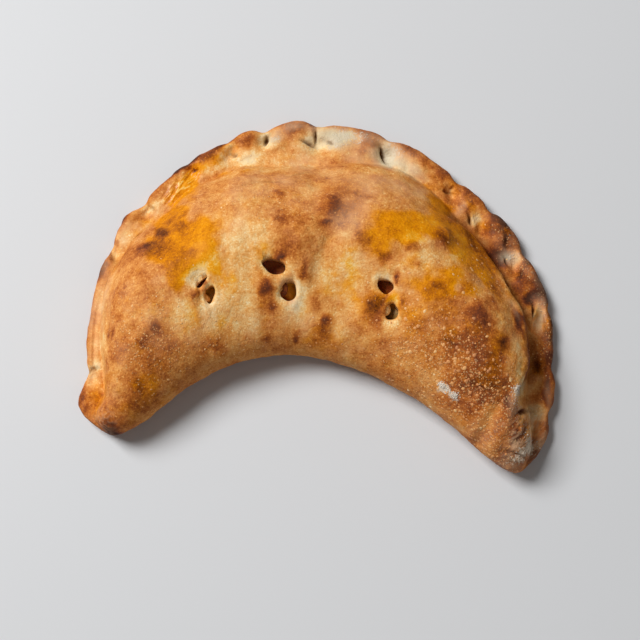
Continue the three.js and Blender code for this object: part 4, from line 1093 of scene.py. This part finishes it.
# %% [markdown]
# ## Torn dough in the vents
# Scissors don't cut cleanly, so in three of the vents a torn tongue of dough is left hanging, one of them browned and
# two pale. Each is a flattened ball set just under the edge of its vent, so that only its inner end shows.
# %% Torn tongues of dough
# x, y, half length, half width, turn, how deep under the skin, how baked
TONGUES = [
    (-55.1, 18.4, 4.4, 1.8, 82, 1, 0.3), (-17, 22.4, 4, 2.4, 78, 1.3, 0.84), (33.7, 12.3, 3.3, 2.6, 70, 1.1, 0.16),
]
tongues, tongue_bake = bmesh.new(), []
for x, y, long, wide, turn, deep, how_baked in TONGUES:
    place, upward, *_ = skin_tree.ray_cast(Vector((x, y, 90)), Vector((0, 0, -1)))
    leaning = upward.to_track_quat("Z", "Y").to_matrix().to_4x4()
    laid = Matrix.Translation(place - deep * upward) @ leaning @ Matrix.Rotation(math.radians(turn), 4, "Z")
    shape = laid @ Matrix.Diagonal((long, wide, 0.5, 1))
    made = bmesh.ops.create_uvsphere(tongues, u_segments=32, v_segments=16, radius=1, matrix=shape)
    tongue_bake += [how_baked] * len(made["verts"])
torn_dough = make_object("torn_dough", tongues)
keep_values(torn_dough, "bake", tongue_bake)
print("torn dough:", len(torn_dough.data.polygons), "faces")

# %% Grains of flour
# x, y, spread along, spread across, turn, grains
HEAPS = [
    (60.5, -24.5, 2, 1.1, -25, 150), (66.5, -29.5, 1.7, 1.2, -40, 120), (63, -27, 1.6, 0.8, -35, 40),
    (97, -26.5, 2, 1.6, 20, 90), (104, -49, 3.5, 5, 30, 45), (101, -55, 5, 2, 35, 25),
]
grains, stands = [], []
for x, y, along_it, across_it, turn, count in HEAPS:
    c, s = math.cos(math.radians(turn)), math.sin(math.radians(turn))
    for u, v in dice.standard_normal((count, 2)) * (along_it * 0.6, across_it * 0.6):
        hit = skin_tree.ray_cast(Vector((x + u * c - v * s, y + u * s + v * c, 80)), Vector((0, 0, -1)))
        if hit[0] is None:
            continue
        heaped = 0.5 * math.exp(-((u / along_it) ** 2 + (v / across_it) ** 2)) * dice.random()
        grains.append(hit[0] + hit[1] * (heaped if count > 100 else 0))  # only a thick heap stands up
        stands.append(hit[1])
grain_radii = 0.14 + 0.3 * dice.random(len(grains)) ** 2
stretch = 1 + 0.4 * dice.random(len(grains))
flour_grains = scatter("flour_grains", np.array(grains), np.array(stands), grain_radii, 0.8, stretch)
print(len(grains), "grains of flour")

# %% [markdown]
# ## Shader maths that reads as Python
# A shader is a net of small nodes, and drawing one by hand soon becomes a tangle. This class wraps one output of a
# node, so that sums and products of outputs add the Math nodes themselves, and one method makes any other node.
# %% One class for shader maths
class Wire:
    """One output of a node, or a node tree to begin from."""

    def __init__(self, tree, socket=None):
        self.tree, self.socket = tree, socket

    def make(self, kind, settings=None, sockets=None, out=0):
        """Adds a node of that kind, with its settings first and then its sockets' values or links."""
        node = self.tree.nodes.new(kind)
        for name, value in (settings or {}).items():
            if name == "stops":
                while len(node.color_ramp.elements) < len(value):
                    node.color_ramp.elements.new(1.0)
                for stop, (position, tone) in zip(node.color_ramp.elements, value):
                    stop.position, stop.color = position, (*tone, 1)
            else:
                setattr(node, name, value)
        for name, value in (sockets or {}).items():
            if isinstance(value, Wire):
                self.tree.links.new(value.socket, node.inputs[name])
            else:
                node.inputs[name].default_value = value
        return Wire(self.tree, node.outputs[out])

    def math(self, operation, *values, clamp=False):
        sockets = dict(enumerate(values))
        return self.make("ShaderNodeMath", {"operation": operation, "use_clamp": clamp}, sockets)

    def __add__(self, other):
        return self.math("ADD", self, other)

    def __radd__(self, other):
        return self.math("ADD", other, self)

    def __sub__(self, other):
        return self.math("SUBTRACT", self, other)

    def __rsub__(self, other):
        return self.math("SUBTRACT", other, self)

    def __mul__(self, other):
        return self.math("MULTIPLY", self, other)

    def __rmul__(self, other):
        return self.math("MULTIPLY", other, self)

    def clamp(self):
        return self.math("ADD", self, 0.0, clamp=True)

    def between(self, low, high):
        """0 below low, 1 above high, and smooth between them."""
        settings = {"interpolation_type": "SMOOTHSTEP"}
        return self.make("ShaderNodeMapRange", settings, {"Value": self, "From Min": low, "From Max": high})

    def blend(self, other, factor):
        """This colour, going over to another one by factor."""
        return self.make("ShaderNodeMix", {"data_type": "RGBA"}, {0: factor, 6: self, 7: other}, out=2)

    def tint(self, other, factor):
        """This colour multiplied by another one, by factor."""
        settings = {"data_type": "RGBA", "blend_type": "MULTIPLY"}
        return self.make("ShaderNodeMix", settings, {0: factor, 6: self, 7: other}, out=2)

    def noise(self, size, detail=3.0, roughness=0.55, offset=0.0):
        """Noise with lumps of that size in millimetres."""
        moved = self.make("ShaderNodeVectorMath", {"operation": "ADD"}, {0: self, 1: (offset, offset, offset)})
        sockets = {"Vector": moved, "Scale": 1000 / size, "Detail": detail, "Roughness": roughness}
        return self.make("ShaderNodeTexNoise", {}, sockets)

    def value(self, name):
        """A value kept on the mesh."""
        return self.make("ShaderNodeAttribute", {"attribute_name": name}, out="Fac")

    def colours(self, stops):
        """The colour of a ramp at this value."""
        return self.make("ShaderNodeValToRGB", {"stops": stops}, {"Fac": self})

    def bump(self, strength=1.0):
        """This height in millimetres as a bump."""
        return self.make("ShaderNodeBump", {}, {"Strength": strength, "Distance": 0.001, "Height": self})


def shade(*paint):
    """A colour of the kind that a paint chart gives, 0 to 255, as the linear light that a shader needs."""
    return tuple(c / 12.92 if c <= 0.04045 else ((c + 0.055) / 1.055) ** 2.4 for c in (p / 255 for p in paint))


def opaque(*paint):
    """The same with its alpha, as a colour socket takes it."""
    return (*shade(*paint), 1)


def material(name, *pieces):
    """A new material on some pieces, as a Wire to begin from, its surface shader and the place on the object."""
    new = bpy.data.materials.new(name)
    new.use_nodes = True
    for piece in pieces:
        piece.data.materials.clear()
        piece.data.materials.append(new)
    wire = Wire(new.node_tree)
    return wire, new.node_tree.nodes["Principled BSDF"], wire.make("ShaderNodeTexCoord", out="Object")


def feed(shader, **sockets):
    """Sets or links a shader's sockets, with underscores for the spaces in their names."""
    for name, value in sockets.items():
        socket = shader.inputs[name.replace("_", " ")]
        if isinstance(value, Wire):
            value.tree.links.new(value.socket, socket)
        else:
            socket.default_value = value


print("shade of golden crust:", [round(c, 3) for c in shade(222, 160, 92)])

# %% [markdown]
# ## The baked surface
# Bread browns from cream through gold to nearly black as sugars burn, so one ramp of colours, read by how baked a
# place is, gives the whole crust. Noise of several sizes is added to that value, not to the colour, so that every
# speck still has a true baked colour. A second ramp, with the blue taken out, is the same crust soaked with oil, and
# noise breaks the edge between them into golden spots. Over that go a thin haze of flour dust, loose flour, the cream
# of raw dough, and last a painted shade in the creases and in the valley beside the overhanging dough at the right.
# %% The crust's material
wire, shader, place = material("baked_crust", baked, torn_dough)
mottle, flecks, grain = place.noise(9, 4, 0.6), place.noise(2.6, 4, 0.65, 1.7), place.noise(0.9, 3, 0.6, 3.1)
specks = place.noise(1.2, 2, 0.5, 5.3).between(0.6, 0.7)
painted = wire.value("bake")
unevenness = 0.38 * (mottle - 0.5) + 0.52 * (flecks - 0.5) + 0.5 * (grain - 0.5)
bake = painted + unevenness * (1.2 - 0.55 * painted) - 0.16 * specks


def bubbles(size, thick):
    """Painted bubbles, too small to model, in cells of that size in millimetres, of which only some hold one."""
    sockets = {"Vector": place, "Scale": 1000 / size, "Randomness": 1.0}
    cell = wire.make("ShaderNodeTexVoronoi", {}, sockets)
    lot = wire.make("ShaderNodeSeparateColor", {}, {"Color": Wire(wire.tree, cell.socket.node.outputs["Color"])})
    held = (thick - lot).between(0.0, 0.1)
    return held * (1 - cell.between(0.12, 0.4))


bubbly = wire.value("bubbly")
bubble = (bubbles(1.5, bubbly * 0.8) + 0.7 * bubbles(0.9, bubbly * 0.55 + 0.05)).clamp()

# how baked, the plain colour and the oily one
BAKED_COLOURS = [
    (0.0, (242, 216, 166), (238, 190, 100)),
    (0.15, (237, 195, 131), (234, 166, 44)),
    (0.3, (227, 166, 94), (230, 148, 10)),
    (0.45, (211, 138, 68), (216, 132, 4)),
    (0.6, (184, 106, 44), (186, 106, 8)),
    (0.72, (150, 78, 32), (152, 82, 12)),
    (0.85, (112, 57, 32), (106, 52, 14)),
    (1.0, (80, 42, 27), (60, 31, 16)),
]
PLAIN_RAMP = [(at, shade(*plain)) for at, plain, _ in BAKED_COLOURS]
OILY_RAMP = [(at, shade(*oily)) for at, _, oily in BAKED_COLOURS]
baked_through = bake.clamp()
gold, haze = place.noise(7, 4, 0.6, 7.7), place.noise(12, 4, 0.6, 9.1)
oil = (wire.value("oil") + 1.5 * (gold - 0.5) + 0.3 * (flecks - 0.5)).between(0.0, 0.8)
colour = baked_through.colours(PLAIN_RAMP).blend(baked_through.colours(OILY_RAMP), oil)
colour = colour.blend(opaque(232, 186, 128), 0.6 * bubble)
dust = (wire.value("dust") * 0.45 + 2.0 * (haze - 0.5) * (0.85 - bake)) * (0.2 + 1.6 * grain) * (1 - oil)
colour = colour.blend(opaque(226, 180, 138), dust.clamp())
flour = (wire.value("flour") + 1.3 * (grain - 0.5) + 0.9 * (flecks - 0.5)).between(0.38, 0.76)
colour = colour.blend(opaque(230, 212, 188), flour * 0.85)
colour = colour.blend(opaque(207, 198, 172), wire.value("raw"))
colour = colour.blend(opaque(226, 200, 148), wire.value("crumb"))
# painted shade: the valley beside the overhanging dough and the creases are darkened in the colour
colour = colour.tint(opaque(140, 108, 84), wire.value("valley").clamp())
colour = colour.tint(opaque(120, 84, 52), wire.value("crease").clamp())
height = 0.4 * mottle + 0.35 * flecks + 0.25 * grain + 0.2 * bubble + 0.1 * flour
rough = 0.62 - 0.1 * oil + 0.25 * flour + 0.2 * (grain - 0.5)
coat = 0.02 + 0.4 * wire.value("wet")
feed(shader, Base_Color=colour, Roughness=rough, Normal=height.bump())
feed(shader, Coat_Weight=coat, Coat_Roughness=0.25, Specular_IOR_Level=0.06)
print("the crust's material has", len(wire.tree.nodes), "nodes")

# %% [markdown]
# ## The melted filling
# Cheese, sauce and oil, seen from above through small holes. It is glossy and uneven, golden where cheese lies on
# top and red-brown where sauce does, so two noises choose between the colours. Under three vents the cheese and curd
# are painted brighter than they are, as painted light in the shade inside the vents.
# %% The filling's material
wire, shader, place = material("melted_filling", cheese)
curd, spots = place.noise(9, 3, 0.5, 0.4), place.noise(3, 3, 0.6, 2.2)
# the golden and pale tones are brighter than the filling is, as painted light in the shade inside the vents
KIND_COLOURS = [(0.0, shade(150, 62, 14)), (0.5, shade(240, 164, 26)), (1.0, shade(150, 124, 80))]
kind = wire.value("kind") + 0.35 * (curd - 0.5) + 0.25 * (spots - 0.5)
feed(shader, Base_Color=kind.clamp().colours(KIND_COLOURS), Roughness=0.4, Normal=(curd + 0.4 * spots).bump())
feed(shader, Coat_Weight=0.1, Coat_Roughness=0.15, Specular_IOR_Level=0.2)
print("the filling's material has", len(wire.tree.nodes), "nodes")

for piece, node in ((baked, "crust"), (cheese, "filling")):
    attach(piece, "root")
    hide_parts(node)

# %% [markdown]
# ## Bubbles and flour
# A bubble's thin roof dries first, so it is paler and shinier than the crust it stands on. It reads the same ramp of
# baked colours, a step nearer to cream. Flour is raw, so it stays white and quite dull.
# %% Materials of the bubbles and the flour
wire, shader, place = material("bubble_roof", little_bubbles)
grain = place.noise(0.9, 3, 0.6, 3.1)
bake = 0.7 * wire.value("bake") + 0.3 * (grain - 0.5)
colour = bake.clamp().colours(PLAIN_RAMP).blend(opaque(228, 176, 130), 0.32)
feed(shader, Base_Color=colour, Roughness=0.5, Normal=(0.3 * grain).bump(0.5))
feed(shader, Coat_Weight=0.08, Coat_Roughness=0.3, Specular_IOR_Level=0.1)

FLOUR_COLOURS = [(0.3, shade(200, 184, 166)), (0.7, shade(242, 232, 218))]
wire, shader, place = material("raw_flour", flour_grains)
grain = place.noise(0.5, 2, 0.6)
feed(shader, Base_Color=grain.colours(FLOUR_COLOURS), Roughness=0.95, Normal=(0.3 * grain).bump(0.6))
feed(shader, Specular_IOR_Level=0.1)
for piece in (little_bubbles, torn_dough, flour_grains):
    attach(piece, "root")
print("bubbles and flour are dressed")

# %% [markdown]
# ## The studio
# The food lies on a plain pale floor. A large soft lamp stands to the upper left and a little behind, as a window
# would, and a dim sky fills the shadows. The camera looks down steeply, as over a laid table.
# %% Floor, lamps and camera
bm = bmesh.new()
bmesh.ops.create_grid(bm, x_segments=1, y_segments=1, size=1.5)
floor_mesh = bpy.data.meshes.new("floor")
bm.to_mesh(floor_mesh)
bm.free()
floor = add_object("floor", floor_mesh)
_, shader, _ = material("pale_floor", floor)
feed(shader, Base_Color=(0.64, 0.65, 0.665, 1), Roughness=0.6)


def lamp(name, place, power, size):
    """A square lamp that faces the food."""
    data = bpy.data.lights.new(name, "AREA")
    data.energy, data.size = power, size
    obj = add_object(name, data)
    obj.location = place
    obj.rotation_euler = (-Vector(place)).to_track_quat("-Z", "Y").to_euler()


lamp("window", (-1.5, 0.94, 2.11), power=87.5, size=1.2)
lamp("far_wall", (0.9, -1.4, 1.1), power=3, size=1.6)
sky = bpy.data.worlds.new("sky")
sky.use_nodes = True
feed(sky.node_tree.nodes["Background"], Color=(1.0, 0.95, 0.9, 1), Strength=0.12)
bpy.context.scene.world = sky
bpy.context.scene.view_settings.view_transform = "Standard"

CAMERA_PLACE, CAMERA_TILT, CAMERA_LENS = (0.001477, -0.150207, 0.707329), 11, 78.92
camera_data = bpy.data.cameras.new("camera")
camera_data.lens, camera_data.sensor_width, camera_data.clip_end = CAMERA_LENS, 36, 10
camera = add_object("camera", camera_data)
camera.location = CAMERA_PLACE
camera.rotation_euler = (math.radians(CAMERA_TILT), 0, 0)
bpy.context.scene.camera = camera
print("the camera stands", round(camera.location.length, 3), "m away")
